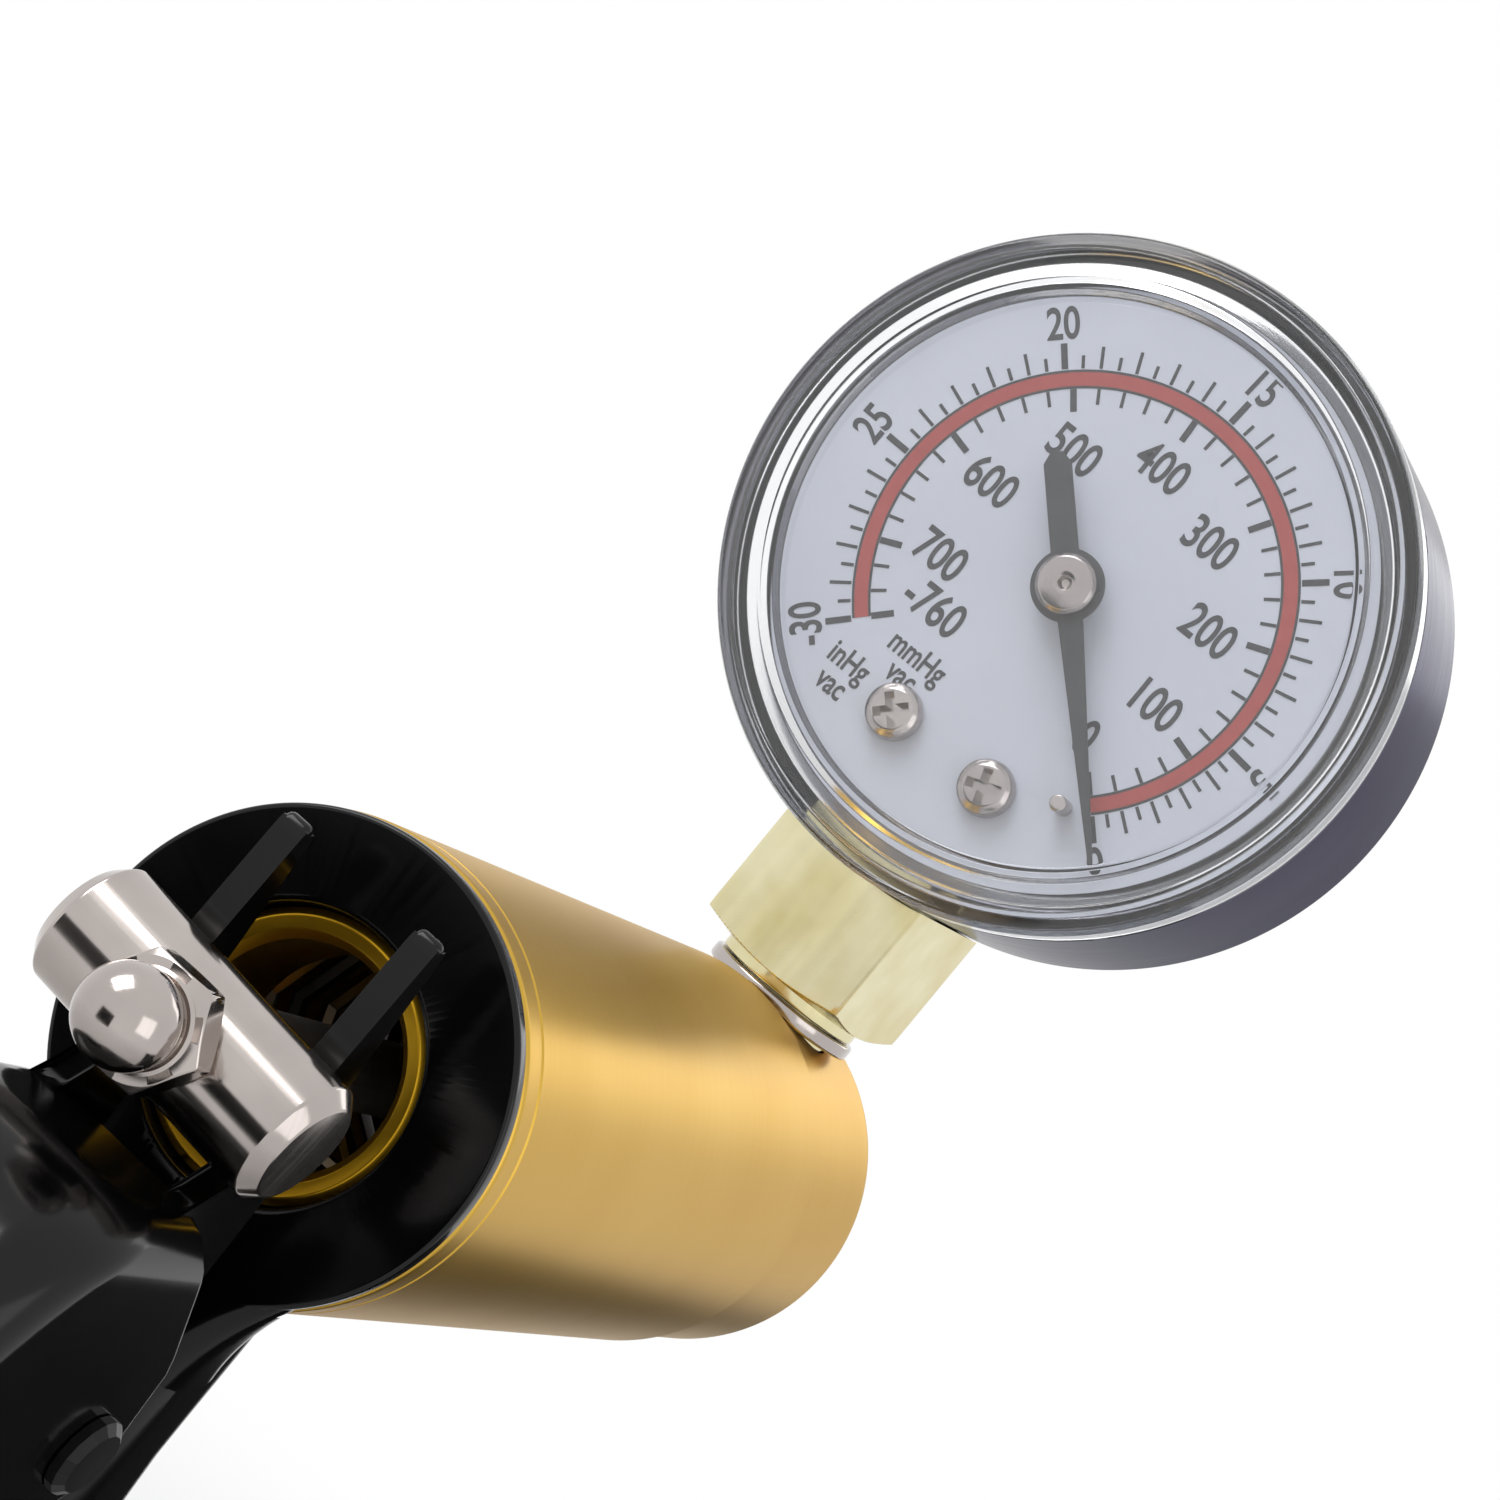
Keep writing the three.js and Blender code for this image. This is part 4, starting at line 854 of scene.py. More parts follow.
# Black oxide on the hardened pivot pin: near black with a satin edge.
OXIDE = Finish("black_oxide_steel", "#101012", "#18181A", 0.3, 0.6, 1.5, grain=0.8, relief=0.002)
# Bare turned aluminium of the piston.
BARE_ALUMINIUM = TurnedAluminium(
    "bare_turned_aluminium", "#C4C4C6", "#B4B4B8", 0.35, 1.0, relief=0.0015
)
# Nitrile rubber: soft black with a dusty bloom.
RUBBER = Finish("nitrile_rubber", "#1B1B1C", "#242425", 0.6, 0.0, 1.52, grain=0.6, relief=0.01)
# Polycarbonate: clear, colourless and lightly scuffed.
CLEAR = ClearMoulding(
    "clear_polycarbonate", "#FAFBFD", "#EEF1F5", 0.015, 0.0, 1.585, grain=1.5, relief=0.0015
)
# Stove enamel of the dial: cool white with a low sheen.
ENAMEL = Finish("white_stove_enamel", "#CFD1D9", "#CACCD5", 0.42, 0.0, 1.5, grain=2.0, relief=0.002)
# Matt black paint on the pointer.
PAINT = Finish("matt_black_paint", "#333334", "#3B3B3C", 0.5, 0.0, 1.5, grain=0.4, relief=0.006)
# Dial inks.
BLACK_INK = ScreenInk("black_screen_ink", "#2C2C2D", "#38383A", 0.5, grain=0.5)
RED_INK = ScreenInk("red_screen_ink", "#A53A33", "#B0463E", 0.45, grain=0.8)

# Black flock of the studio's cards.
VELVET = Finish("black_flock", "#050505", "#070707", 0.9, 0.0, 1.3, grain=2.0, relief=0.05)


@cache
def material_of(finish: Finish) -> bpy.types.Material:
    """Builds each finish once."""
    return finish.build()


def fit(obj: bpy.types.Object, finish: Finish, slot: str, body: str, *stands_for: str) -> None:
    """Gives a piece its finish and the body that it moves with.

    Args:
        obj: The piece.
        finish: Its finish.
        slot: The record's material slot, which is not used.
        body: The body that it rides on.
        stands_for: CAD nodes that it replaces.
    """
    obj.data.materials.clear()
    obj.data.materials.append(material_of(finish))
    level_faces = obj.modifiers.new("level_faces", "WEIGHTED_NORMAL")
    level_faces.keep_sharp = True
    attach(obj, body)
    if stands_for:
        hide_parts(*stands_for)
    LOG.info("%s: %d faces, %s", obj.name, len(obj.data.polygons), finish.name)


def dress(finish: Finish, *nodes: str) -> None:
    """Gives CAD nodes a finish and eases their facets.

    Args:
        finish: The finish.
        nodes: The CAD nodes.
    """
    for name in nodes:
        node = frame["nodes"][name]
        for holder in node.material_slots:
            holder.material = material_of(finish)
        smooth(node, 40)
        ease = node.modifiers.new("eased_edges", "BEVEL")
        ease.width = 0.04 * MM
        ease.segments = 2
        ease.limit_method = "ANGLE"
        ease.angle_limit = math.radians(50)
        LOG.info("%s: kept, %s", name, finish.name)


# ---------------------------------------------------------------- where things are


@dataclass(frozen=True)
class Datum:
    """Places that several sub-assemblies share, read from the frame."""

    collar_thick: float = 1.2
    seat: float = 0.1

    @property
    def axis_z(self) -> float:
        """Height of the barrel's axis."""
        return NodeBox.of("barrel_tube").middle.z

    @property
    def collar_y(self) -> float:
        """The collar's rear face."""
        return NodeBox.of("barrel_tube").low.y - self.collar_thick - self.seat

    @property
    def pivot(self) -> Vector:
        """Centre of the lever's pin."""
        place = next(j for j in frame["joints"] if j["name"] == "lever_pivot")["pos_m"]
        return Vector(place) / MM

    @property
    def gauge(self) -> Vector:
        """Where the gauge's axis crosses the socket's axis."""
        place = next(j for j in frame["joints"] if j["name"] == "pointer_turn")["pos_m"]
        return Vector(place) / MM


DATUM = Datum()


# ---------------------------------------------------------------- barrel and head


@dataclass
class Barrel:
    """The gold tube and the head that closes its front end."""

    wall: float = 2.0
    groove_from_rear: float = 2.4
    groove_width: float = 0.45
    groove_depth: float = 0.16
    head_edge: float = 1.6
    spot_face_d: float = 13.8
    spot_face_below: float = 0.55
    port_d: float = 10.2
    port_depth: float = 8.0

    def tube(self) -> None:
        """Makes the tube, with a fine groove ahead of the collar."""
        box = NodeBox.of("barrel_tube")
        radius = box.size.z / 2
        bore = radius - self.wall
        groove = box.low.y + self.groove_from_rear
        floor = radius - self.groove_depth
        corners = [
            (bore, box.low.y, 0.15),
            (radius, box.low.y, 0.5),
            (radius, groove, 0.06),
            (floor, groove + self.groove_width * 0.25, 0.05),
            (floor, groove + self.groove_width * 0.75, 0.05),
            (radius, groove + self.groove_width, 0.06),
            (radius, box.high.y, 0.22),
            (bore, box.high.y, 0.1),
        ]
        obj = turned("barrel", eased(corners), Axis.Y, (0, 0, DATUM.axis_z), 192, True)
        fit(obj, GOLD, "gold_anodised", "pump_body", "barrel_tube")

    def head(self) -> None:
        """Makes the head with its plug, its seal groove, its spot face and its two ports."""
        box = NodeBox.of("front_head")
        tube = NodeBox.of("barrel_tube")
        seal = NodeBox.of("head_o_ring")
        radius = box.size.z / 2
        plug = tube.size.z / 2 - self.wall - 0.2
        rear = tube.high.y + DATUM.seat
        seal_floor = plug - seal.size.y
        corners = [
            (0, box.low.y, 0),
            (plug, box.low.y, 0.3),
            (plug, seal.low.y - 0.1, 0.05),
            (seal_floor, seal.low.y - 0.1, 0.1),
            (seal_floor, seal.high.y + 0.1, 0.1),
            (plug, seal.high.y + 0.1, 0.05),
            (plug, rear, 0.05),
            (radius, rear, 0.4),
            (radius, box.high.y, self.head_edge),
            (0, box.high.y, 0),
        ]
        obj = turned("head", eased(corners, False, 8), Axis.Y, (0, 0, DATUM.axis_z), 192)
        stem_y = DATUM.gauge.y
        spot_z = DATUM.axis_z + radius - self.spot_face_below
        axis, stem, high = (0, 0, DATUM.axis_z), (0, stem_y, 0), box.high.y
        port = self.port_d / 2
        worked(
            obj,
            Join.CUT,
            drill("spot_face", self.spot_face_d / 2, spot_z, spot_z + 4, Axis.Z, stem, 96),
            drill("gauge_port", port, spot_z - self.port_depth, spot_z + 1, Axis.Z, stem, 64),
            drill("hose_port", port, high - self.port_depth, high + 1, Axis.Y, axis, 64),
        )
        fit(obj, GOLD, "gold_anodised", "pump_body", "front_head")

    def build(self) -> None:
        """Builds the barrel and the head."""
        self.tube()
        self.head()
        dress(RUBBER, "head_o_ring", "inlet_valve")


@dataclass
class HoseBarb:
    """The brass fitting that a hose slides over."""

    flats: float = 11.0
    hexagon: float = 4.2
    bore: float = 3.2
    stem: float = 5.4
    tooth: float = 7.6
    teeth: int = 3
    pitch: float = 5.0
    lead: float = 1.4
    thread: float = 4.9
    relief: float = 4.3

    def build(self) -> None:
        """Turns the barb and its thread, and joins them to a chamfered hexagon."""
        box = NodeBox.of("hose_barb")
        hex_y = NodeBox.of("front_head").high.y + DATUM.seat
        stem_y = hex_y + self.hexagon
        bore, stem, tooth = self.bore / 2, self.stem / 2, self.tooth / 2
        corners = [(bore, box.low.y, 0.2), (self.thread, box.low.y, 0.6)]
        corners += [(self.thread, hex_y - 0.3, 0.2), (self.relief, hex_y + 0.3, 0)]
        corners += [(self.relief, stem_y - 0.4, 0.1), (stem, stem_y - 0.3, 0.3)]
        first = stem_y + self.lead
        for index in range(self.teeth):
            y = first + index * self.pitch
            corners += [(stem, y, 0.2), (tooth, y, 0.12), (tooth, y + 0.4, 0.25)]
            corners.append((stem, y + self.pitch - 0.4, 0.2))
        corners += [(bore, box.high.y, 0.2)]
        centre = (0, 0, DATUM.axis_z)
        shank = turned("barb_shank", eased(corners), Axis.Y, centre, 96, True)
        nut = chamfered_nut("barb_nut", self.flats, hex_y, stem_y, Vector(centre), self.bore + 2)
        fit(merged("hose_barb_fine", [shank, nut]), BRASS, "bright_brass", "pump_body", "hose_barb")


def chamfered_nut(
    name: str, flats: float, low: float, high: float, centre: Vector, hole: float, sides: int = 192
) -> bpy.types.Object:
    """A hexagon about Y whose corners are turned off at both ends.

    Args:
        name: Name of the piece.
        flats: Width across flats.
        low: Where it starts along Y.
        high: Where it ends.
        centre: A point on its axis.
        hole: Diameter of its hole.
        sides: How many points stand for each ring.

    Returns:
        The object.
    """
    half = flats / 2
    levels = 10
    reach = half / math.cos(math.radians(30)) - half
    ends = [t / levels * reach * 0.6 for t in range(levels + 1)]
    heights = [low + step for step in ends] + [high - step for step in reversed(ends)]
    rings = []
    for height in heights:
        depth = min(height - low, high - height)
        cone = half - 0.06 + depth / math.tan(math.radians(30))
        ring = []
        for side in range(sides):
            angle = 2 * math.pi * side / sides
            fold = (angle + math.pi / 6) % (math.pi / 3) - math.pi / 6
            flat = half / math.cos(fold)
            radius = soft_least(flat, cone, 0.05)
            turn = angle + math.pi / 6
            u, v = radius * math.cos(turn), radius * math.sin(turn)
            ring.append(centre + Axis.Y.point(height - centre.y, u, v))
        rings.append(ring)
    inner = hole / 2
    for height in (high, low):
        ring = []
        for side in range(sides):
            turn = 2 * math.pi * side / sides + math.pi / 6
            u, v = inner * math.cos(turn), inner * math.sin(turn)
            ring.append(centre + Axis.Y.point(height - centre.y, u, v))
        rings.append(ring)
    return lofted(name, rings, hollow=True)


# ---------------------------------------------------------------- fixed handle


@dataclass
class FixedHandle:
    """The black moulded grip with the collar that holds the barrel's rear end."""

    width: float = 14.8
    drop: float = 97.0
    depth: float = 21.0
    lean: float = 9.0
    edge: float = 4.0
    neck_depth: float = 11.0
    spread: float = 10.9
    spread_length: float = 10.0
    collar_bore: float = 18.0
    plug_length: float = 8.0
    tongue: float = 8.0
    lobe: float = 5.0
    pin_hole: float = 3.3
    room_length: float = 66.0
    plug_play: float = 0.2

    @property
    def collar_r(self) -> float:
        """Radius of the collar."""
        return NodeBox.of("barrel_tube").size.z / 2 - 0.1

    def rear_line(self) -> list[Point]:
        """The grip's rear edge seen from the side, from the top down.

        Returns:
            The points of the line.
        """
        foot = -self.drop
        line = Outline(0, 0)
        line.line(0, DATUM.pivot.z - DATUM.axis_z - 9)
        line.line(self.lean - 1, foot + 6)
        line.curve((self.lean, foot), (self.lean + 6, foot))
        return line.points

    def front_line(self) -> list[Point]:
        """The grip's front edge seen from the side, from the top down.

        Returns:
            The points of the line.
        """
        foot = -self.drop
        front = self.lean + self.depth
        line = Outline(self.neck_depth, 0)
        line.line(self.neck_depth, -self.collar_r - 8.1)
        line.curve((self.neck_depth, foot * 0.32), (self.depth - 2, foot * 0.42), 20)
        line.curve((self.depth + 6.5, foot * 0.62), (front, foot + 6), 28)
        line.curve((front, foot), (front - 6, foot))
        return line.points

    def grip(self) -> bpy.types.Object:
        """Lofts the grip from the barrel down to its rounded foot.

        Returns:
            The grip.
        """
        rear, front = self.rear_line(), self.front_line()
        top = -self.collar_r + 2 * self.edge
        rings = []
        levels = 40
        edges = (self.edge, self.edge)
        for count in range(levels + 1):
            down = count / levels
            z = top + (-self.drop - top) * math.sin(down * math.pi / 2)
            half = self.width / 2 - rounded_inset(self.edge, z + self.drop)
            rings.append(level(z, at_height(rear, z), at_height(front, z), half, edges))
        return lofted("grip", rings)

    def neck(self) -> bpy.types.Object:
        """Lofts the skin that spreads from the grip into the lower arc of the collar.

        Returns:
            The neck.
        """
        high = -math.sqrt((self.collar_r - 0.15) ** 2 - self.spread**2)
        rings = []
        levels = 20
        for count in range(levels + 1):
            down = count / levels
            half = self.width / 2 - 0.04 + (self.spread - self.width / 2) * (1 - down) ** 1.7
            front = DATUM.collar_thick + (self.neck_depth - 0.1 - DATUM.collar_thick) * down
            edge = 0.4 + (self.edge - 0.4) * down**0.8
            rings.append(level(high - self.spread_length * down, 0.02, front, half, (edge, edge)))
        return lofted("neck", rings)

    def tongue_outline(self) -> list[Point]:
        """The tongue that carries the pivot pin.

        Returns:
            The points of the outline, where the piece stands.
        """
        y = DATUM.pivot.y - DATUM.collar_y
        z = DATUM.pivot.z - DATUM.axis_z
        side = Outline(3, z + self.lobe + 3)
        side.line(0, z + self.lobe + 3)
        side.arc((y, z), self.lobe, 90, 270, 32)
        side.line(0, z - self.lobe - 4)
        side.line(3, z - self.lobe - 4)
        return side.moved(DATUM.collar_y, DATUM.axis_z)

    def build(self) -> None:
        """Moulds the handle: grip, neck, collar, plug and tongue in one, with its bore and pin hole."""
        half = self.width / 2
        y = DATUM.collar_y
        front = y + DATUM.collar_thick
        centre = (0, 0, DATUM.axis_z)
        tube_r = NodeBox.of("barrel_tube").size.z / 2
        side = self.tongue / 2
        tongue = prism("tongue", self.tongue_outline(), Axis.X, -side, side, 0.3, 3)
        handle = worked(self.grip(), Join.ADD, self.neck(), tongue)
        room = drill("room", tube_r + 0.3, front, front + self.room_length, Axis.Y, centre, 160)
        worked(handle, Join.CUT, room)
        rim = [(0, y, 0), (self.collar_r, y, 0.35), (self.collar_r, front, 0.1), (0, front, 0)]
        plate = turned("collar", eased(rim, False, 5), Axis.Y, centre, 192)
        outer = tube_r - Barrel.wall - self.plug_play
        bore = self.collar_bore / 2
        end = front + self.plug_length
        plug = [(bore - 1, front - 0.6), (outer, front - 0.6), (outer, end), (bore - 1, end)]
        worked(handle, Join.ADD, plate, turned("plug", plug, Axis.Y, centre, 128, True))
        mouth = [(0, y - 1), (bore + 1.45, y - 1), (bore + 0.45, y), (bore + 0.12, y + 0.16)]
        mouth += [(bore, y + 0.5), (bore, end + 1), (0, end + 1)]
        pin = drill("pin_hole", self.pin_hole / 2, -half - 1, half + 1, Axis.X, tuple(DATUM.pivot))
        worked(handle, Join.CUT, turned("mouth", mouth, Axis.Y, centre, 128), pin)
        handle.name = "handle"
        fit(handle, BLACK, "black_abs", "pump_body", "fixed_handle")


@dataclass
class GuideRing:
    """The gold ring in the collar that guides the rod and seats the spring."""

    bore: float = 14.0
    lip: float = 0.8

    def build(self) -> None:
        """Turns the ring with a dished lip and a spring flange."""
        box = NodeBox.of("guide_ring")
        inner = self.bore / 2
        flange = box.size.z / 2
        outer = flange - 3.95
        corners = [
            (inner, box.low.y + self.lip + 0.2, 0.2),
            (inner + 0.55, box.low.y + 0.25, 0.2),
            (outer - 0.5, box.low.y, 0.25),
            (outer, box.low.y + 0.3, 0.1),
            (outer, box.high.y - 1.6, 0.1),
            (flange, box.high.y - 1.6, 0.1),
            (flange, box.high.y, 0.2),
            (inner, box.high.y, 0.2),
        ]
        obj = turned("rod_guide", eased(corners), Axis.Y, (0, 0, DATUM.axis_z), 160, True)
        # The ring's gold has painted shade: deeper and more yellow for the shade inside the collar.
        fit(obj, COLLAR_SHADE_GOLD, "gold_anodised", "pump_body", "guide_ring")


# ---------------------------------------------------------------- lever


@dataclass
class SqueezeLever:
    """The black lever: a hollow grip and two prongs that straddle the rod."""

    width: float = 17.0
    wall: float = 2.3
    skin: float = 2.6
    prong_in: float = 4.4
    prong_out: float = 6.3
    tip: float = 12.2
    lobe: float = 5.4
    pin_hole: float = 3.3
    edge: float = 1.2
    round: float = 4.5

    @property
    def place(self) -> Point:
        """The pivot, as far back from the collar and down from the barrel's axis."""
        return DATUM.pivot.y - DATUM.collar_y, DATUM.pivot.z - DATUM.axis_z

    def rear_line(self, shoulder: float) -> list[Point]:
        """The lever's rear edge seen from the side, from the shoulder down.

        Args:
            shoulder: Height of the shoulder.

        Returns:
            The points of the line.
        """
        y, z = self.place
        line = Outline(y - 6, shoulder - 0.2)
        line.curve((y - 22.5, z + 18), (y - 27, z - 10), 40)
        line.curve((y - 31, z - 32), (y - 33, z - 58), 28)
        line.curve((y - 33, z - 63), (y - 28, z - 63))
        return line.points

    def front_line(self, shoulder: float) -> list[Point]:
        """The lever's front edge seen from the side, round its lobe and down its open side.

        Args:
            shoulder: Height of the shoulder.

        Returns:
            The points of the line.
        """
        y, z = self.place
        line = Outline(y - 3.5, shoulder)
        line.line(y + self.lobe - 1, z + 6)
        line.arc((y, z), self.lobe, 0, -86, 20)
        line.curve((y - 8, z - 8), (y - 14, z - 15), 16)
        line.curve((y - 21, z - 30), (y - 23.5, z - 58), 24)
        line.curve((y - 24, z - 63), (y - 28, z - 63))
        return line.points

    def grip(self, shoulder: float) -> bpy.types.Object:
        """Lofts the grip, rounder behind than in front.

        Args:
            shoulder: Height of the shoulder.

        Returns:
            The solid grip.
        """
        rear, front = self.rear_line(shoulder), self.front_line(shoulder)
        top, foot = shoulder - 0.2, self.place[1] - 63
        rings = []
        levels = 64
        edges = (self.round, self.edge)
        for count in range(levels + 1):
            z = top + (foot - top) * math.sin(math.pi / 2 * (count / levels)) ** 1.7
            inset = rounded_inset(3, top - z) + rounded_inset(3, z - foot)
            half = self.width / 2 - inset
            rings.append(level(z, at_height(rear, z), at_height(front, z), half, edges))
        return lofted("lever", rings)

    def hollow_outline(self, shoulder: float) -> list[Point]:
        """The side view of the hollow, open to the front.

        Args:
            shoulder: Height of the shoulder.

        Returns:
            The points of the outline, where the piece stands.
        """
        y, z = self.place
        side = Outline(y + 12, shoulder - self.skin)
        side.line(y - 6, shoulder - self.skin)
        side.curve((y - 20.2, z + 15.2), (y - 24.5, z - 10), 28)
        side.curve((y - 28.4, z - 32), (y - 30.4, z - 58), 24)
        side.line(y - 29, z - 60.4)
        side.line(y + 12, z - 60.4)
        return side.moved(DATUM.collar_y, DATUM.axis_z)

    def cheek_outline(self, rear: float, shoulder: float) -> list[Point]:
        """One cheek with its prong.

        Args:
            rear: Where the prong's rear edge starts.
            shoulder: Height of the shoulder.

        Returns:
            The points of the outline, where the piece stands.
        """
        y, z = self.place
        side = Outline(rear, 0)
        side.line(rear + 0.7, self.tip - 1)
        side.curve((rear + 0.8, self.tip), (rear + 1.4, self.tip), 8)
        side.curve((rear + 2, self.tip), (rear + 2.2, self.tip - 1), 8)
        side.line(rear + 4.4, -2)
        side.line(y + self.lobe - 1, z + 6)
        side.arc((y, z), self.lobe, 0, -90, 24)
        side.line(y - 12, z - 9)
        side.line(y - 13, z + 2)
        side.line(y - 7, shoulder - 1)
        side.line(y - 3.6, shoulder + 0.4)
        side.line(rear - 0.2, shoulder + 2.4)
        return side.moved(DATUM.collar_y, DATUM.axis_z)

    def build(self) -> None:
        """Moulds the lever from its hollow grip and its two cheeks."""
        half = self.width / 2
        inner = half - self.wall
        bar = NodeBox.of("cross_bar")
        bar_r = bar.size.y / 2
        rear = bar.high.y + 0.3 - DATUM.collar_y
        shoulder = -bar_r - 3.4
        hollow = prism("hollow", self.hollow_outline(shoulder), Axis.X, -inner, inner)
        lever = worked(self.grip(shoulder), Join.CUT, hollow)
        cheeks = [
            prism(f"cheek_{side}", self.cheek_outline(rear, shoulder), Axis.X, low, high, 0.45, 4)
            for side, low, high in (
                ("left", -self.prong_out, -self.prong_in),
                ("right", self.prong_in, self.prong_out),
            )
        ]
        worked(lever, Join.ADD, *cheeks)
        pin = drill("lever_hole", self.pin_hole / 2, -half - 1, half + 1, Axis.X, tuple(DATUM.pivot))
        worked(lever, Join.CUT, pin)
        fit(lever, BLACK, "black_abs", "lever", "squeeze_lever")
        dress(OXIDE, "pivot_pin", "pin_clip")


# ---------------------------------------------------------------- rod and cross bar


@dataclass
class Plunger:
    """The rod with its cross bar and dome nut, and the piston on its far end."""

    tilt: float = 4.0
    bar_edge: float = 0.9
    stud: float = 4.0
    nut_flats: float = 7.2
    nut_height: float = 2.4
    dome: float = 6.1
    play: float = 0.15

    def cross_bar(self) -> None:
        """Turns the cross bar, with a hole for the rod's stud."""
        box = NodeBox.of("cross_bar")
        radius = box.size.y / 2
        tilt = math.radians(self.tilt)
        half = box.size.x / 2 / math.cos(tilt) - radius * math.tan(tilt)
        corners = [
            (0, -half, 0),
            (radius - self.bar_edge, -half, 0.35),
            (radius, -half + self.bar_edge, 0.35),
            (radius, half - self.bar_edge, 0.35),
            (radius - self.bar_edge, half, 0.35),
            (0, half, 0),
        ]
        bar = turned("t_bar", eased(corners, False, 6), Axis.X, sides=128)
        swung(bar, self.tilt, box.middle)
        reach, hole = radius + 1, self.stud / 2 + self.play
        worked(bar, Join.CUT, drill("bar_hole", hole, -reach, reach, Axis.Y, tuple(box.middle)))
        fit(bar, NICKEL, "nickel_plate", "piston", "cross_bar")

    def dome_nut(self) -> None:
        """Makes the dome nut: a chamfered hexagon, a collar and a polished dome."""
        box = NodeBox.of("dome_nut")
        centre = Vector((0, 0, DATUM.axis_z))
        nut_y = box.high.y - self.nut_height
        nut = chamfered_nut("nut", self.nut_flats, nut_y, box.high.y, centre, self.stud + 2 * self.play)
        ball = self.dome / 2
        ball_y = box.low.y + ball
        profile = [(0.0, box.low.y)]
        for step in range(1, 25):
            across, along = polar(ball, -90 + step * 5.9)
            profile.append((across, ball_y + along))
        foot = self.nut_flats / 2 - 0.5
        profile += [(foot - 0.25, nut_y - 0.12), (foot, nut_y + 0.02)]
        profile += [(foot, nut_y + 0.3), (0.0, nut_y + 0.3)]
        dome = turned("dome", profile, Axis.Y, tuple(centre), 96)
        fit(merged("cap_nut", [nut, dome]), NICKEL, "nickel_plate", "piston", "dome_nut")

    def rod(self) -> None:
        """Turns the rod with its two studs."""
        box = NodeBox.of("piston_rod")
        bar = NodeBox.of("cross_bar")
        piston = NodeBox.of("piston_body")
        rod, stud = box.size.z / 2, self.stud / 2
        shoulder = bar.high.y + 0.3
        corners = [
            (0, box.low.y, 0),
            (stud, box.low.y, 0.3),
            (stud, shoulder, 0.05),
            (rod, shoulder, 0.35),
            (rod, piston.low.y, 0.1),
            (stud, piston.low.y, 0.05),
            (stud, box.high.y, 0.3),
            (0, box.high.y, 0),
        ]
        obj = turned("rod", eased(corners, False, 5), Axis.Y, (0, 0, DATUM.axis_z), 96)
        fit(obj, STEEL, "steel", "piston", "piston_rod")

    def build(self) -> None:
        """Builds the plunger and dresses the hidden piston pieces."""
        self.cross_bar()
        self.dome_nut()
        self.rod()
        dress(BARE_ALUMINIUM, "piston_body")
        dress(RUBBER, "piston_cup", "exhaust_valve")
        dress(STEEL, "piston_washer", "piston_nut", "valve_clip", "return_spring")


# ---------------------------------------------------------------- gauge socket


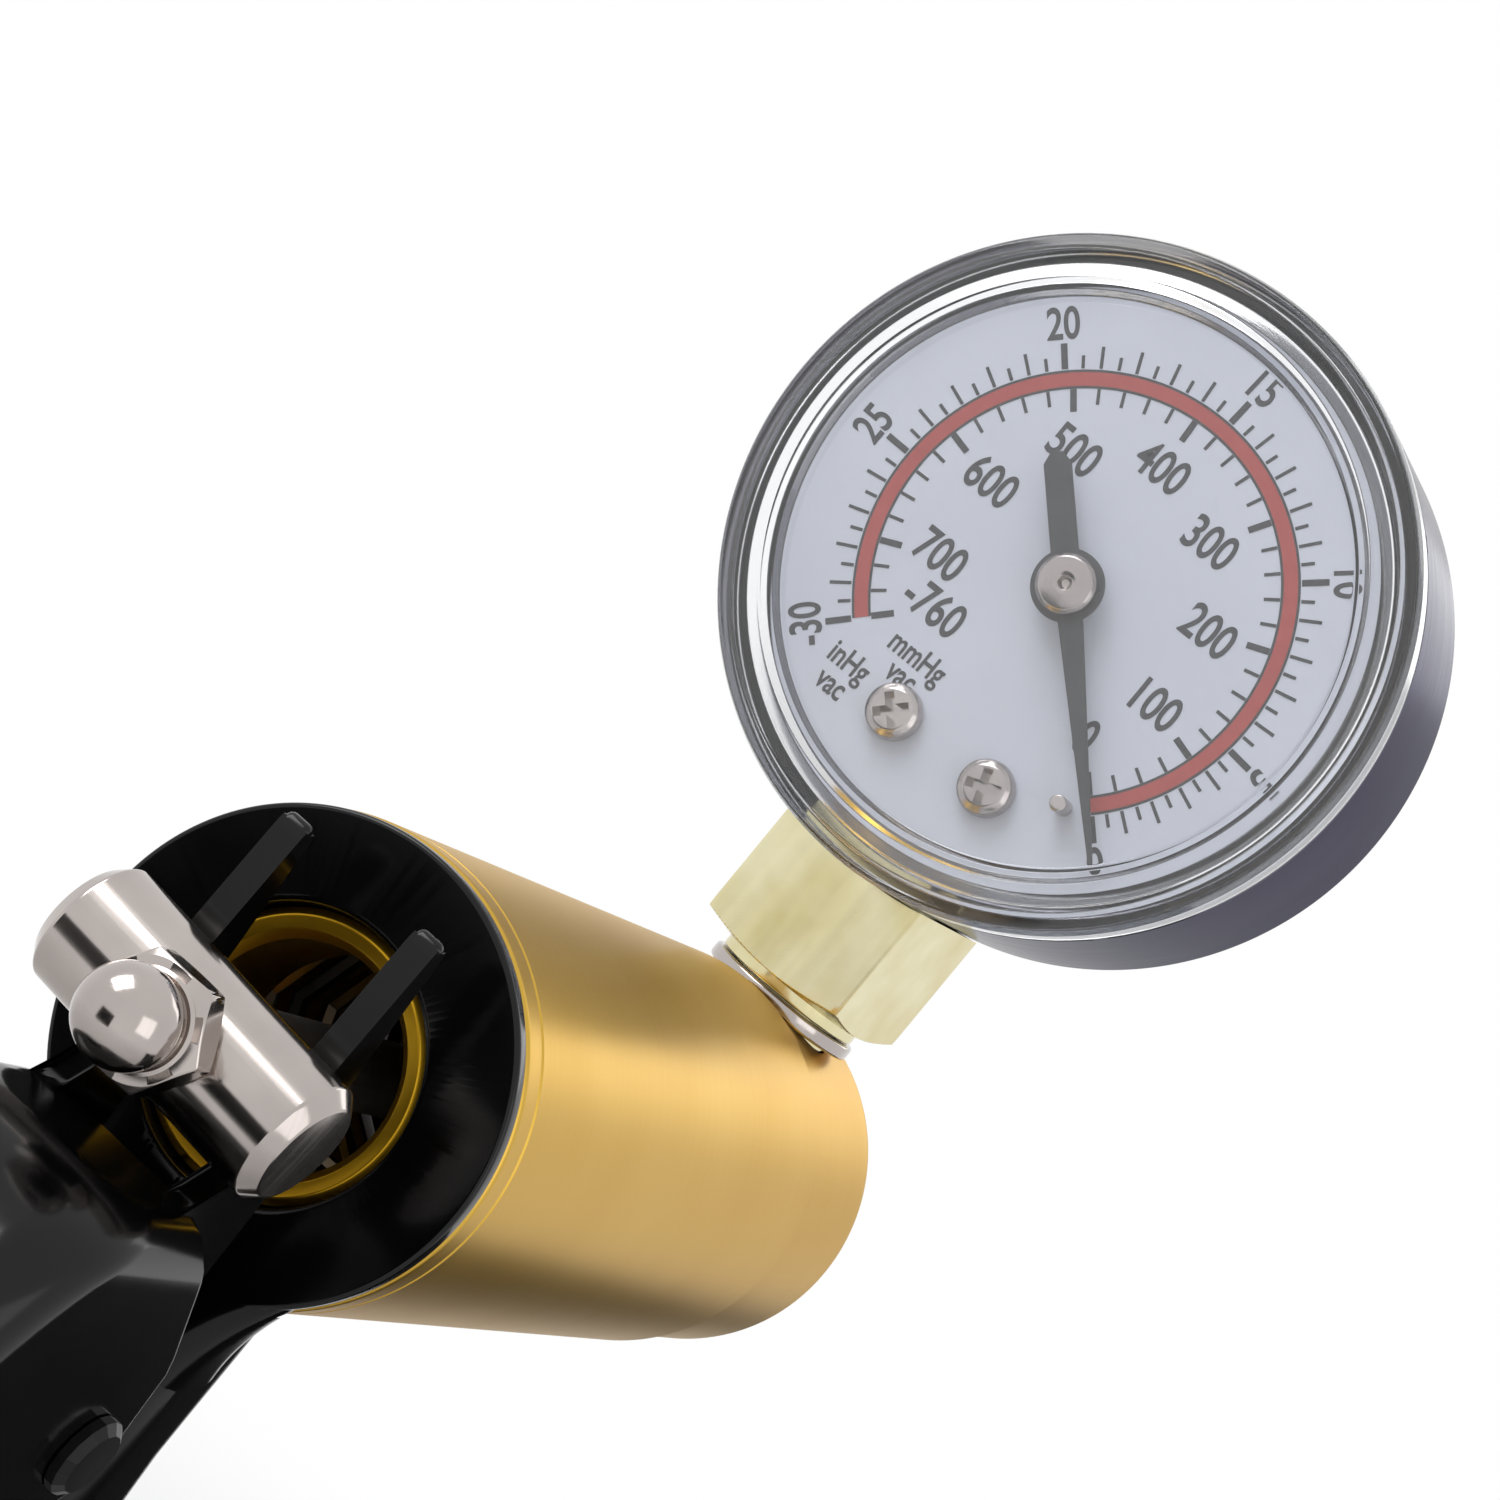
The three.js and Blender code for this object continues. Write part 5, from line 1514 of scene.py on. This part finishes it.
@dataclass
class Socket:
    """The brass socket between the head and the gauge, and the washer under it."""

    width: float = 13.7
    twist: float = -5.7
    chamfer: float = 16.0
    thread: float = 9.8
    register: float = 12.4
    register_rise: float = 0.95
    head_width: float = 13.0
    neck: float = 11.0
    levels: int = 16
    sides: int = 512

    def square_radius(self, angle: float) -> float:
        """How far the square's rounded side lies from the axis at an angle.

        Args:
            angle: The angle, in radians.

        Returns:
            The distance.
        """
        half = self.width / 2
        across = half / max(abs(math.cos(angle)), 1e-6)
        along = half / max(abs(math.sin(angle)), 1e-6)
        return soft_least(min(across, FAR), min(along, FAR), 0.045)

    def block(self, low: float, case_r: float) -> bpy.types.Object:
        """Makes the square, its lower corners turned off, its top hollowed to the case.

        Args:
            low: Height of its lower face.
            case_r: Radius of the case that it meets.

        Returns:
            The object.
        """
        gauge = DATUM.gauge
        half = self.width / 2
        slope = math.tan(math.radians(self.chamfer))
        crown = (half * math.sqrt(2) - half) * slope
        rings = []
        for step in range(self.levels * 2 + 1):
            ring = []
            for side in range(self.sides):
                angle = 2 * math.pi * side / self.sides
                square = self.square_radius(angle)
                turn = angle + math.radians(self.twist)
                if step <= self.levels:
                    rise = crown * 1.02 * (step / self.levels) ** 1.3
                    radius = soft_least(square, half - 0.1 + rise / slope, 0.04)
                    height = low + rise
                else:
                    radius = square
                    x = radius * math.cos(turn)
                    top = gauge.z - math.sqrt((case_r + 0.15) ** 2 - x**2)
                    start = low + crown * 1.02
                    height = start + (top - start) * (step - self.levels) / self.levels
                place = (radius * math.cos(turn), gauge.y + radius * math.sin(turn), height)
                ring.append(Vector(place))
            rings.append(ring)
        return lofted("block", rings, 24)

    def build(self) -> None:
        """Builds the washer, the block with its register and thread, and the inner head."""
        gauge = DATUM.gauge
        box = NodeBox.of("gauge_socket")
        case = NodeBox.of("gauge_case")
        washer_box = NodeBox.of("seal_washer")
        register_z = washer_box.high.z + DATUM.seat
        block_z = register_z + self.register_rise
        centre = (0, gauge.y, 0)
        ring = [
            (self.thread / 2 + 0.25, washer_box.low.z, 0.1),
            (washer_box.size.x / 2, washer_box.low.z, 0.35),
            (washer_box.size.x / 2, washer_box.high.z, 0.35),
            (self.thread / 2 + 0.25, washer_box.high.z, 0.1),
        ]
        washer = turned("crush_washer", eased(ring), Axis.Z, centre, 128, True)
        fit(washer, NICKEL, "nickel_plate", "pump_body", "seal_washer")

        thread = self.thread / 2
        corners = [
            (0, box.low.z, 0),
            (thread, box.low.z, 0.7),
            (thread, register_z, 0.05),
            (self.register / 2, register_z, 0.2),
            (self.register / 2, block_z + 0.2, 0),
            (0, block_z + 0.2, 0),
        ]
        shank = turned("shank", eased(corners, False), Axis.Z, centre, 128)
        block = self.block(block_z, case.size.x / 2)
        half, neck = self.head_width / 2, self.neck / 2
        low = gauge.z - math.sqrt((case.size.x / 2 - 1.1) ** 2 - half**2) + 0.2
        waist = [(-neck, -neck), (neck, -neck), (neck, neck), (-neck, neck)]
        pipe = prism("pipe", [(u, v + gauge.y) for u, v in waist], Axis.Z, low - 4, low + 1)
        square = [(-half, low), (half, low), (half, box.high.z), (-half, box.high.z)]
        head = prism("seat", square, Axis.Y, gauge.y - 0.6, gauge.y + 5.5, 0.4, 3)
        obj = merged("socket", [shank, block, pipe, head])
        fit(obj, BRASS, "bright_brass", "pump_body", "gauge_socket")


# ---------------------------------------------------------------- gauge


@dataclass
class Gauge:
    """The case, its window, the dial's hardware and the pointer."""

    wall: float = 0.8
    back_edge: float = 1.5
    screw_head: float = 4.4
    screw_rise: float = 1.5
    cap_dimple: float = 0.45
    notch: float = 1.3
    notch_depth: float = 0.55
    pointer_zero: float = -45.0
    blade: tuple[float, float, float, float] = (21.1, 10.15, 1.05, 0.15)
    hub_d: float = 5.6
    stop_d: float = 1.3

    @property
    def centre(self) -> Place:
        """Where the gauge's own profiles have their origin."""
        return (0, DATUM.gauge.y, DATUM.gauge.z)

    def case(self) -> None:
        """Presses the case, with a rolled back edge and a slot for the socket."""
        box = NodeBox.of("gauge_case")
        radius = box.size.x / 2
        back, mouth = box.high.y - DATUM.gauge.y, box.low.y - DATUM.gauge.y
        inner = radius - self.wall
        corners = [
            (0, back, 0),
            (radius - 7, back, 0.3),
            (radius - 6.6, back - 0.35, 0.3),
            (radius - 5.4, back - 0.35, 0.3),
            (radius - 5, back, 0.3),
            (radius, back, self.back_edge),
            (radius, mouth, 0.25),
            (inner, mouth, 0.2),
            (inner, back - self.wall, 1.0),
            (0, back - self.wall, 0),
        ]
        shell = turned("case_shell", eased(corners, False, 8), Axis.Y, self.centre, 256)
        half = NodeBox.of("gauge_socket").size.x / 2 - 1.6
        slot = [(-half, -radius - 1), (half, -radius - 1), (half, -inner + 2), (-half, -inner + 2)]
        slot = [(u, v + DATUM.gauge.z) for u, v in slot]
        opening = prism("slot", slot, Axis.Y, DATUM.gauge.y - half, DATUM.gauge.y + half)
        worked(shell, Join.CUT, opening, *self.notches(radius, mouth))
        fit(shell, CHROME, "chromed_steel", "pump_body", "gauge_case")

    def notches(self, radius: float, mouth: float) -> list[bpy.types.Object]:
        """Makes the tools that cut the four notches where the window snaps in.

        Args:
            radius: Outer radius of the case.
            mouth: Where its front edge lies.

        Returns:
            The four tools.
        """
        low, high, half = radius - 0.5, radius + 0.5, self.notch / 2
        outline = [(-half, low), (half, low), (half, high), (-half, high)]
        tools = []
        for turn in (45, 135, 225, 315):
            tool = prism("notch", outline, Axis.Y, mouth - 0.3, mouth + self.notch_depth)
            tools.append(swung(tool, turn, self.centre))
        return tools

    def window(self) -> None:
        """Moulds the stepped window: a sunk face, a raised rim and a skirt inside the case."""
        box = NodeBox.of("gauge_lens")
        radius = box.size.x / 2
        face, end = box.low.y - DATUM.gauge.y, box.high.y - DATUM.gauge.y
        skirt = radius - self.wall - 0.2
        inner = skirt - 1.1
        corners = [
            (0, face + 1, 0),
            (radius - 4.9, face + 1, 0.4),
            (radius - 4.5, face + 0.55, 0.15),
            (radius - 4.1, face + 0.5, 0.15),
            (radius - 3.6, face, 0.3),
            (radius - 1.5, face, 0.25),
            (radius - 1.2, face + 0.3, 0.15),
            (radius - 0.3, face + 0.5, 0.5),
            (radius, face + 1.4, 0.5),
            (radius, face + 3.9, 0.2),
            (skirt, face + 3.9, 0.1),
            (skirt, end, 0.15),
            (inner, end, 0.15),
            (inner, face + 3.1, 0.5),
            (inner - 1, face + 2.5, 0.3),
            (0, face + 2.5, 0),
        ]
        obj = turned("window", eased(corners, False, 6), Axis.Y, self.centre, 256)
        fit(obj, CLEAR, "clear_polycarbonate", "pump_body", "gauge_lens")

    def screw(self, node: str) -> None:
        """Makes a pan-head screw with a tapered cross recess.

        Args:
            node: The CAD screw that it stands for.
        """
        box = NodeBox.of(node)
        radius = self.screw_head / 2
        low = box.low.y
        x, z = box.middle.x, box.middle.z
        corners = [
            (0, low, 0),
            (radius * 0.72, low + 0.02, 0.5),
            (radius * 0.95, low + 0.38, 0.4),
            (radius, low + self.screw_rise * 0.62, 0.35),
            (radius, low + self.screw_rise, 0.12),
            (0.95, low + self.screw_rise, 0.1),
            (0.95, box.high.y, 0.2),
            (0, box.high.y, 0),
        ]
        head = turned(f"{node}_fine", eased(corners, False, 6), Axis.Y, (x, 0, z), 64)
        arm, wing = radius * 0.66, radius * 0.17
        first = random.Random(node).uniform(20, 70)
        floor = low + self.screw_rise - 0.2
        blade = [(-arm, low - 0.3), (arm, low - 0.3), (arm * 0.75, floor), (-arm * 0.75, floor)]
        cross = []
        for turn in (first, first + 90):
            cross.append(swung(prism("blade", blade, Axis.Z, -wing, wing), turn, (x, 0, z)))
        worked(head, Join.CUT, *cross)
        fit(head, NICKEL, "nickel_plate", "pump_body", node)

    def stop_pin(self) -> None:
        """Turns the stop pin with a rounded end."""
        box = NodeBox.of("stop_pin")
        radius = self.stop_d / 2
        corners = [
            (0, box.low.y, 0),
            (radius, box.low.y, 0.18),
            (radius, box.high.y - 0.3, 0),
            (radius + 0.4, box.high.y - 0.3, 0.05),
            (radius + 0.4, box.high.y, 0.05),
            (0, box.high.y, 0),
        ]
        obj = turned("zero_stop", eased(corners, False), Axis.Y, (box.middle.x, 0, box.middle.z), 48)
        fit(obj, NICKEL, "nickel_plate", "pump_body", "stop_pin")

    def pointer(self) -> None:
        """Stamps the pointer: a tapered blade, a round hub and a broad tail with cut corners."""
        box = NodeBox.of("pointer")
        length, tail, root, tip = self.blade
        shape = [(-tail, -0.45), (-tail + 0.85, -root), (0, -root), (length, -tip)]
        shape += [(length, tip), (0, root), (-tail + 0.85, root), (-tail, 0.45)]
        hand = prism("blade", shape, Axis.Y, box.low.y, box.high.y, 0.05, 2)
        hub, low, high = self.hub_d / 2, box.low.y, box.high.y
        corners = [(0, low, 0), (hub, low, 0.06), (hub, high, 0.06), (0, high, 0)]
        worked(hand, Join.ADD, turned("hub", eased(corners, False, 3), Axis.Y, (0, 0, 0), 96))
        swung(hand, -self.pointer_zero, (0, 0, DATUM.gauge.z))
        hand.name = "hand"
        fit(hand, PAINT, "pointer_black", "pointer_arbor", "pointer")

    def cap(self) -> None:
        """Turns the polished cap on the pointer's hub, with a centre dimple."""
        box = NodeBox.of("pointer_cap")
        radius = box.size.x / 2
        corners = [
            (0, box.low.y + self.cap_dimple, 0),
            (0.3, box.low.y + self.cap_dimple, 0.05),
            (0.55, box.low.y + 0.04, 0.08),
            (0.85, box.low.y, 0.1),
            (radius - 0.3, box.low.y + 0.08, 0.3),
            (radius, box.low.y + 0.4, 0.2),
            (radius, box.high.y, 0.08),
            (0, box.high.y, 0),
        ]
        obj = turned("hub_cap", eased(corners, False, 6), Axis.Y, (0, 0, DATUM.gauge.z), 96)
        fit(obj, NICKEL, "nickel_plate", "pointer_arbor", "pointer_cap")

    def build(self) -> None:
        """Builds the gauge's outside and dresses its works."""
        self.case()
        self.window()
        self.screw("dial_screw_left")
        self.screw("dial_screw_right")
        self.stop_pin()
        self.pointer()
        self.cap()
        dress(
            CLOCK_BRASS,
            "movement_back_plate",
            "movement_front_plate",
            "movement_pillar_left",
            "movement_pillar_right",
            "movement_pillar_lower",
            "sector_gear",
            "link_arm",
            "pinion_arbor",
            "bourdon_tube",
            "bourdon_tip",
        )
        dress(NICKEL, "movement_screw_upper", "movement_screw_lower")
        dress(STEEL, "hairspring")


@dataclass
class Dial:
    """The enamelled dial and its printed scale: inches outside, millimetres inside."""

    start: float = -45.0
    end: float = 225.0
    arc_in: float = 15.5
    arc_out: float = 16.75
    line: float = 0.2
    figure: float = 2.1
    squeeze: float = 0.74
    lift: float = 0.03
    inch_r: float = 20.35
    bold: float = 0.018
    first_inches: float = 38.6
    per_millimetre: float = 0.3645

    @property
    def print_y(self) -> float:
        """How far back the print lies, just proud of the dial."""
        return NodeBox.of("gauge_dial").low.y - self.lift

    def inch_angle(self, value: float) -> float:
        """Angle of an inch mark; the first five inches are set closer.

        Args:
            value: Inches of mercury.

        Returns:
            The angle in degrees.
        """
        per_inch = (self.end - self.start - self.first_inches) / 25
        if value <= 5:
            return self.start + self.first_inches * value / 5
        return self.end - (30 - value) * per_inch

    def millimetre_angle(self, value: float) -> float:
        """Angle of a millimetre mark; the first hundred are set closer.

        Args:
            value: Millimetres of mercury.

        Returns:
            The angle in degrees.
        """
        if value <= 100:
            first = self.end - 660 * self.per_millimetre
            return self.start + (first - self.start) * value / 100
        return self.end - (760 - value) * self.per_millimetre

    def flat(self, name: str, loops: Sequence[Sequence[Point]]) -> bpy.types.Object:
        """Lays flat faces on the dial.

        Args:
            name: Name of the object.
            loops: The outline of each face, about the dial's centre.

        Returns:
            The object.
        """
        sheet = bmesh.new()
        for loop in loops:
            corners = [Vector((u, self.print_y, v + DATUM.gauge.z)) for u, v in loop]
            sheet.faces.new([sheet.verts.new(corner) for corner in corners])
        bmesh.ops.scale(sheet, vec=(MM, MM, MM), verts=sheet.verts)
        return self.printed(name, sheet)

    def printed(self, name: str, sheet: bmesh.types.BMesh) -> bpy.types.Object:
        """Turns a flat bmesh in metres into an object that faces the viewer.

        Args:
            name: Name of the object.
            sheet: The bmesh, which is freed.

        Returns:
            The object.
        """
        for face in sheet.faces:
            face.normal_update()
            if face.normal.y > 0:
                face.normal_flip()
        mesh = bpy.data.meshes.new(name)
        sheet.to_mesh(mesh)
        sheet.free()
        return linked(name, mesh)

    def mark(self, angle: float, start: float, end: float, width: float) -> list[Point]:
        """One straight mark between two radii.

        Args:
            angle: Its angle in degrees.
            start: Radius where it starts.
            end: Radius where it ends.
            width: Its width.

        Returns:
            Its four corners.
        """
        along = Vector(polar(1.0, angle))
        across = Vector((-along.y, along.x)) * width / 2
        near, far = along * start, along * end
        corners = (near - across, far - across, far + across, near + across)
        return [(corner.x, corner.y) for corner in corners]

    def band(self, inner: float, outer: float) -> list[list[Point]]:
        """A ring sector between two radii, in short faces.

        Args:
            inner: Inner radius.
            outer: Outer radius.

        Returns:
            The outline of each face.
        """
        faces = []
        steps = 180
        for step in range(steps):
            first, last = (self.start + (self.end - self.start) * (step + k) / steps for k in (0, 1))
            corners = ((inner, first), (outer, first), (outer, last), (inner, last))
            faces.append([polar(radius, angle) for radius, angle in corners])
        return faces

    def marks(self) -> list[list[Point]]:
        """Every mark of both scales.

        Returns:
            The outline of each mark.
        """
        foot_out, foot_in = self.arc_out + 0.18, self.arc_in - 0.12
        loops = []
        for half in range(61):
            value = half / 2
            angle = self.inch_angle(value)
            if value % 5 == 0:
                length, width = 2.0, 0.5
            elif value == int(value):
                length, width = 1.7, 0.26
            else:
                length, width = 1.0, 0.26
            loops.append(self.mark(angle, foot_out, foot_out + length, width))
        for value in (0, 25, 50, 75, *range(100, 761, 20)):
            angle = self.millimetre_angle(value)
            major = value % 100 == 0 or value == 760
            length, width = (1.75, 0.5) if major else (1.2, 0.26)
            loops.append(self.mark(angle, foot_in, foot_in - length, width))
        return loops

    def lettering(self, words: str, height: float, at: Point, turn: float) -> bpy.types.Object:
        """Sets words on the dial.

        Args:
            words: The words, upright in the dial's own frame before they are turned.
            height: Height of a figure in millimetres.
            at: Where their middle lies, about the dial's centre.
            turn: How far they are turned, in degrees.

        Returns:
            The words as a flat mesh.
        """
        text = bpy.data.curves.new("words", "FONT")
        text.body = words
        text.align_x = "CENTER"
        text.offset = self.bold
        source = linked("words", text)
        graph = bpy.context.evaluated_depsgraph_get()
        mesh = bpy.data.meshes.new_from_object(source.evaluated_get(graph))
        bpy.data.objects.remove(source)
        figure_height = 0.6
        scale = height / figure_height * MM
        centre = Matrix.Translation((0, -figure_height / 2, 0))
        size = Matrix.Diagonal((scale * self.squeeze, scale, scale, 1))
        upright = Matrix.Rotation(math.radians(90), 4, "X")
        spin = Matrix.Rotation(math.radians(-turn), 4, "Y")
        place = Vector((at[0], self.print_y, at[1] + DATUM.gauge.z)) * MM
        mesh.transform(Matrix.Translation(place) @ spin @ upright @ size @ centre)
        return linked("words", mesh)

    def figures(self) -> bpy.types.Object:
        """Sets the figures of both scales and the two units.

        Returns:
            The figures and units in one flat mesh.
        """
        words = []
        for value in range(0, 31, 5):
            angle = self.inch_angle(value)
            name = "-30" if value == 30 else str(value)
            words.append(self.lettering(name, self.figure, polar(self.inch_r, angle), angle - 90))
        for value in (0, 100, 200, 300, 400, 500, 600, 700, 760):
            angle = self.millimetre_angle(value)
            radius = 11.1 if value in (0, 400) else 10.6
            name = "-760" if value == 760 else str(value)
            words.append(self.lettering(name, self.figure * 1.08, polar(radius, angle), 0))
        for name, x, z in (
            ("inHg", -9.9, -14.6),
            ("vac", -9.9, -16.7),
            ("mmHg", -6.0, -11.1),
            ("vac", -6.0, -12.95),
        ):
            words.append(self.lettering(name, self.figure * 0.72, (x, z), 0))
        return self.joined("scale_figures", words)

    def joined(self, name: str, parts: Sequence[bpy.types.Object]) -> bpy.types.Object:
        """Puts flat meshes into one.

        Args:
            name: Name of the object.
            parts: The flat meshes, which are used up.

        Returns:
            The object.
        """
        sheet = bmesh.new()
        for part in parts:
            sheet.from_mesh(part.data)
            bpy.data.objects.remove(part)
        return self.printed(name, sheet)

    def plate(self) -> None:
        """Stamps the dial itself."""
        box = NodeBox.of("gauge_dial")
        corners = [
            (0.9, box.low.y, 0.05),
            (box.size.x / 2, box.low.y, 0.15),
            (box.size.x / 2, box.high.y, 0.05),
            (0.9, box.high.y, 0.05),
        ]
        obj = turned("dial_plate", eased(corners), Axis.Y, (0, 0, DATUM.gauge.z), 192, True)
        fit(obj, ENAMEL, "white_enamel", "pump_body", "gauge_dial")

    def build(self) -> None:
        """Makes the dial and prints its scale."""
        self.plate()
        half = self.line / 2
        red = self.flat("scale_arc_red", self.band(self.arc_in + half, self.arc_out - half))
        fit(red, RED_INK, "white_enamel", "pump_body")
        loops = self.marks()
        loops += self.band(self.arc_in - half, self.arc_in + half)
        loops += self.band(self.arc_out - half, self.arc_out + half)
        fit(self.flat("scale_marks", loops), BLACK_INK, "white_enamel", "pump_body")
        fit(self.figures(), BLACK_INK, "white_enamel", "pump_body")


# ---------------------------------------------------------------- studio


@dataclass
class Softbox:
    """A square studio light."""

    name: str
    place: Place
    side: float
    watts: float

    def build(self, aim: Vector) -> None:
        """Hangs the light and points it.

        Args:
            aim: The point that it faces, in millimetres.
        """
        light = bpy.data.lights.new(self.name, "AREA")
        light.size = self.side * MM
        light.energy = self.watts
        obj = linked(self.name, light)
        obj.location = Vector(self.place) * MM
        obj.rotation_mode = "QUATERNION"
        obj.rotation_quaternion = (aim - Vector(self.place)).to_track_quat("-Z", "Y")


@dataclass
class Card:
    """A black card that dark gloss and clear plastic reflect, and nothing else sees."""

    name: str
    place: Place
    aim: Place
    width: float
    height: float

    def build(self) -> None:
        """Stands the card and faces it to its aim."""
        sheet = bmesh.new()
        bmesh.ops.create_grid(sheet, x_segments=6, y_segments=6, size=0.5)
        mesh = bpy.data.meshes.new(self.name)
        sheet.to_mesh(mesh)
        sheet.free()
        turn = (Vector(self.aim) - Vector(self.place)).to_track_quat("Z", "Y").to_matrix().to_4x4()
        size = Matrix.Diagonal((self.width * MM, self.height * MM, 1, 1))
        mesh.transform(Matrix.Translation(Vector(self.place) * MM) @ turn @ size)
        obj = linked(self.name, mesh)
        obj.data.materials.append(material_of(VELVET))
        obj.visible_camera = False
        obj.visible_diffuse = False
        obj.visible_shadow = False


@dataclass
class Studio:
    """The floor, the lights, the backdrop and the camera."""

    ambient: float = 0.4
    floor_radius: float = 700.0
    camera_place: Place = (82.2, -252.05, 139.0)
    camera_aim: Place = (-11.115, 32.734, 125.224)
    camera_roll: float = -39.44
    lens: float = 96.37
    light_aim: Place = (0, 10, 110)
    lights: tuple[Softbox, ...] = (
        Softbox("key_above_left", (-420, -330, 620), 420, 2.6),
        Softbox("fill_right", (620, -260, 260), 420, 0.6),
        Softbox("rim_behind", (120, 640, 480), 420, 0.7),
    )
    cards: tuple[Card, ...] = (
        Card("card_behind_camera", (-130, -640, -90), (0, 10, 110), 380, 300),
        Card("card_low_right", (110, 190, 4), (110, 190, 104), 190, 330),
    )

    def backdrop(self) -> None:
        """Lights the room evenly and shows it as white behind the object and in its reflections."""
        world = bpy.data.worlds.new("white_room")
        bpy.context.scene.world = world
        world.use_nodes = True
        tree = world.node_tree
        tree.nodes.clear()
        path = add(tree, "ShaderNodeLightPath")
        seen = path.outputs["Is Camera Ray"]
        for ray in ("Is Glossy Ray", "Is Transmission Ray"):
            inputs = {0: seen, 1: path.outputs[ray]}
            seen = add(tree, "ShaderNodeMath", inputs, operation="MAXIMUM").outputs[0]
        white = linear("#FFFFFF")
        soft = add(tree, "ShaderNodeBackground", {"Color": white, "Strength": self.ambient})
        plain = add(tree, "ShaderNodeBackground", {"Color": white, "Strength": 1.0})
        mix = add(tree, "ShaderNodeMixShader", {0: seen, 1: soft.outputs[0], 2: plain.outputs[0]})
        add(tree, "ShaderNodeOutputWorld", {"Surface": mix.outputs[0]})

    def floor(self) -> None:
        """Lays a round pale floor that fades into the backdrop."""
        drop = -0.05
        obj = turned("floor", [(0, drop), (self.floor_radius, drop)], Axis.Z, sides=96)
        material = bpy.data.materials.new("pale_floor_paper")
        material.use_nodes = True
        tree = material.node_tree
        shader = tree.nodes["Principled BSDF"]
        place = add(tree, "ShaderNodeTexCoord").outputs["Object"]
        fine = {"Vector": place, "Scale": per_metre(1.5), "Detail": 4.0}
        fibre = add(tree, "ShaderNodeTexNoise", fine)
        tint = add(tree, "ShaderNodeMix", {"Factor": fibre.outputs["Fac"]}, data_type="RGBA")
        tint.inputs[6].default_value = linear("#F2F2F2")
        tint.inputs[7].default_value = linear("#F6F6F6")
        tree.links.new(tint.outputs[2], shader.inputs["Base Color"])
        shader.inputs["Roughness"].default_value = 0.7
        far = add(tree, "ShaderNodeVectorMath", {0: place}, operation="LENGTH").outputs["Value"]
        span = {"Value": far, "From Min": 0.06, "From Max": self.floor_radius * MM * 0.42}
        fade = add(tree, "ShaderNodeMapRange", span, interpolation_type="SMOOTHSTEP").outputs["Result"]
        gone = add(tree, "ShaderNodeBsdfTransparent")
        inputs = {0: fade, 1: shader.outputs[0], 2: gone.outputs[0]}
        mix = add(tree, "ShaderNodeMixShader", inputs)
        tree.links.new(mix.outputs[0], tree.nodes["Material Output"].inputs["Surface"])
        obj.data.materials.append(material)

    def camera(self) -> None:
        """Sets the camera where the pump is seen from behind its lever, rolled to its left."""
        place, aim = Vector(self.camera_place), Vector(self.camera_aim)
        ahead = (aim - place).normalized()
        right = ahead.cross(Vector((0, 0, 1))).normalized()
        up = right.cross(ahead)
        roll = math.radians(self.camera_roll)
        top = up * math.cos(roll) + right * math.sin(roll)
        side = ahead.cross(top)
        camera = bpy.data.cameras.new("camera")
        camera.lens = self.lens
        camera.sensor_width = 36
        camera.clip_start = 0.01
        obj = linked("camera", camera)
        turn = Matrix((side, top, -ahead)).transposed().to_4x4()
        obj.matrix_world = Matrix.Translation(place * MM) @ turn
        bpy.context.scene.camera = obj

    def build(self) -> None:
        """Builds the studio."""
        self.backdrop()
        self.floor()
        for card in self.cards:
            card.build()
        for light in self.lights:
            light.build(Vector(self.light_aim))
        self.camera()
        bpy.context.scene.view_settings.view_transform = "Standard"


# ---------------------------------------------------------------- the pump


def main() -> None:
    """Builds the studio and every sub-assembly in order."""
    logging.basicConfig(level=logging.INFO, format="%(asctime)s %(name)s: %(message)s")
    Studio().build()
    for assembly in (
        Barrel(),
        HoseBarb(),
        FixedHandle(),
        GuideRing(),
        SqueezeLever(),
        Plunger(),
        Socket(),
        Gauge(),
        Dial(),
    ):
        LOG.info("building %s", type(assembly).__name__)
        assembly.build()


if __name__ == "__main__":
    main()
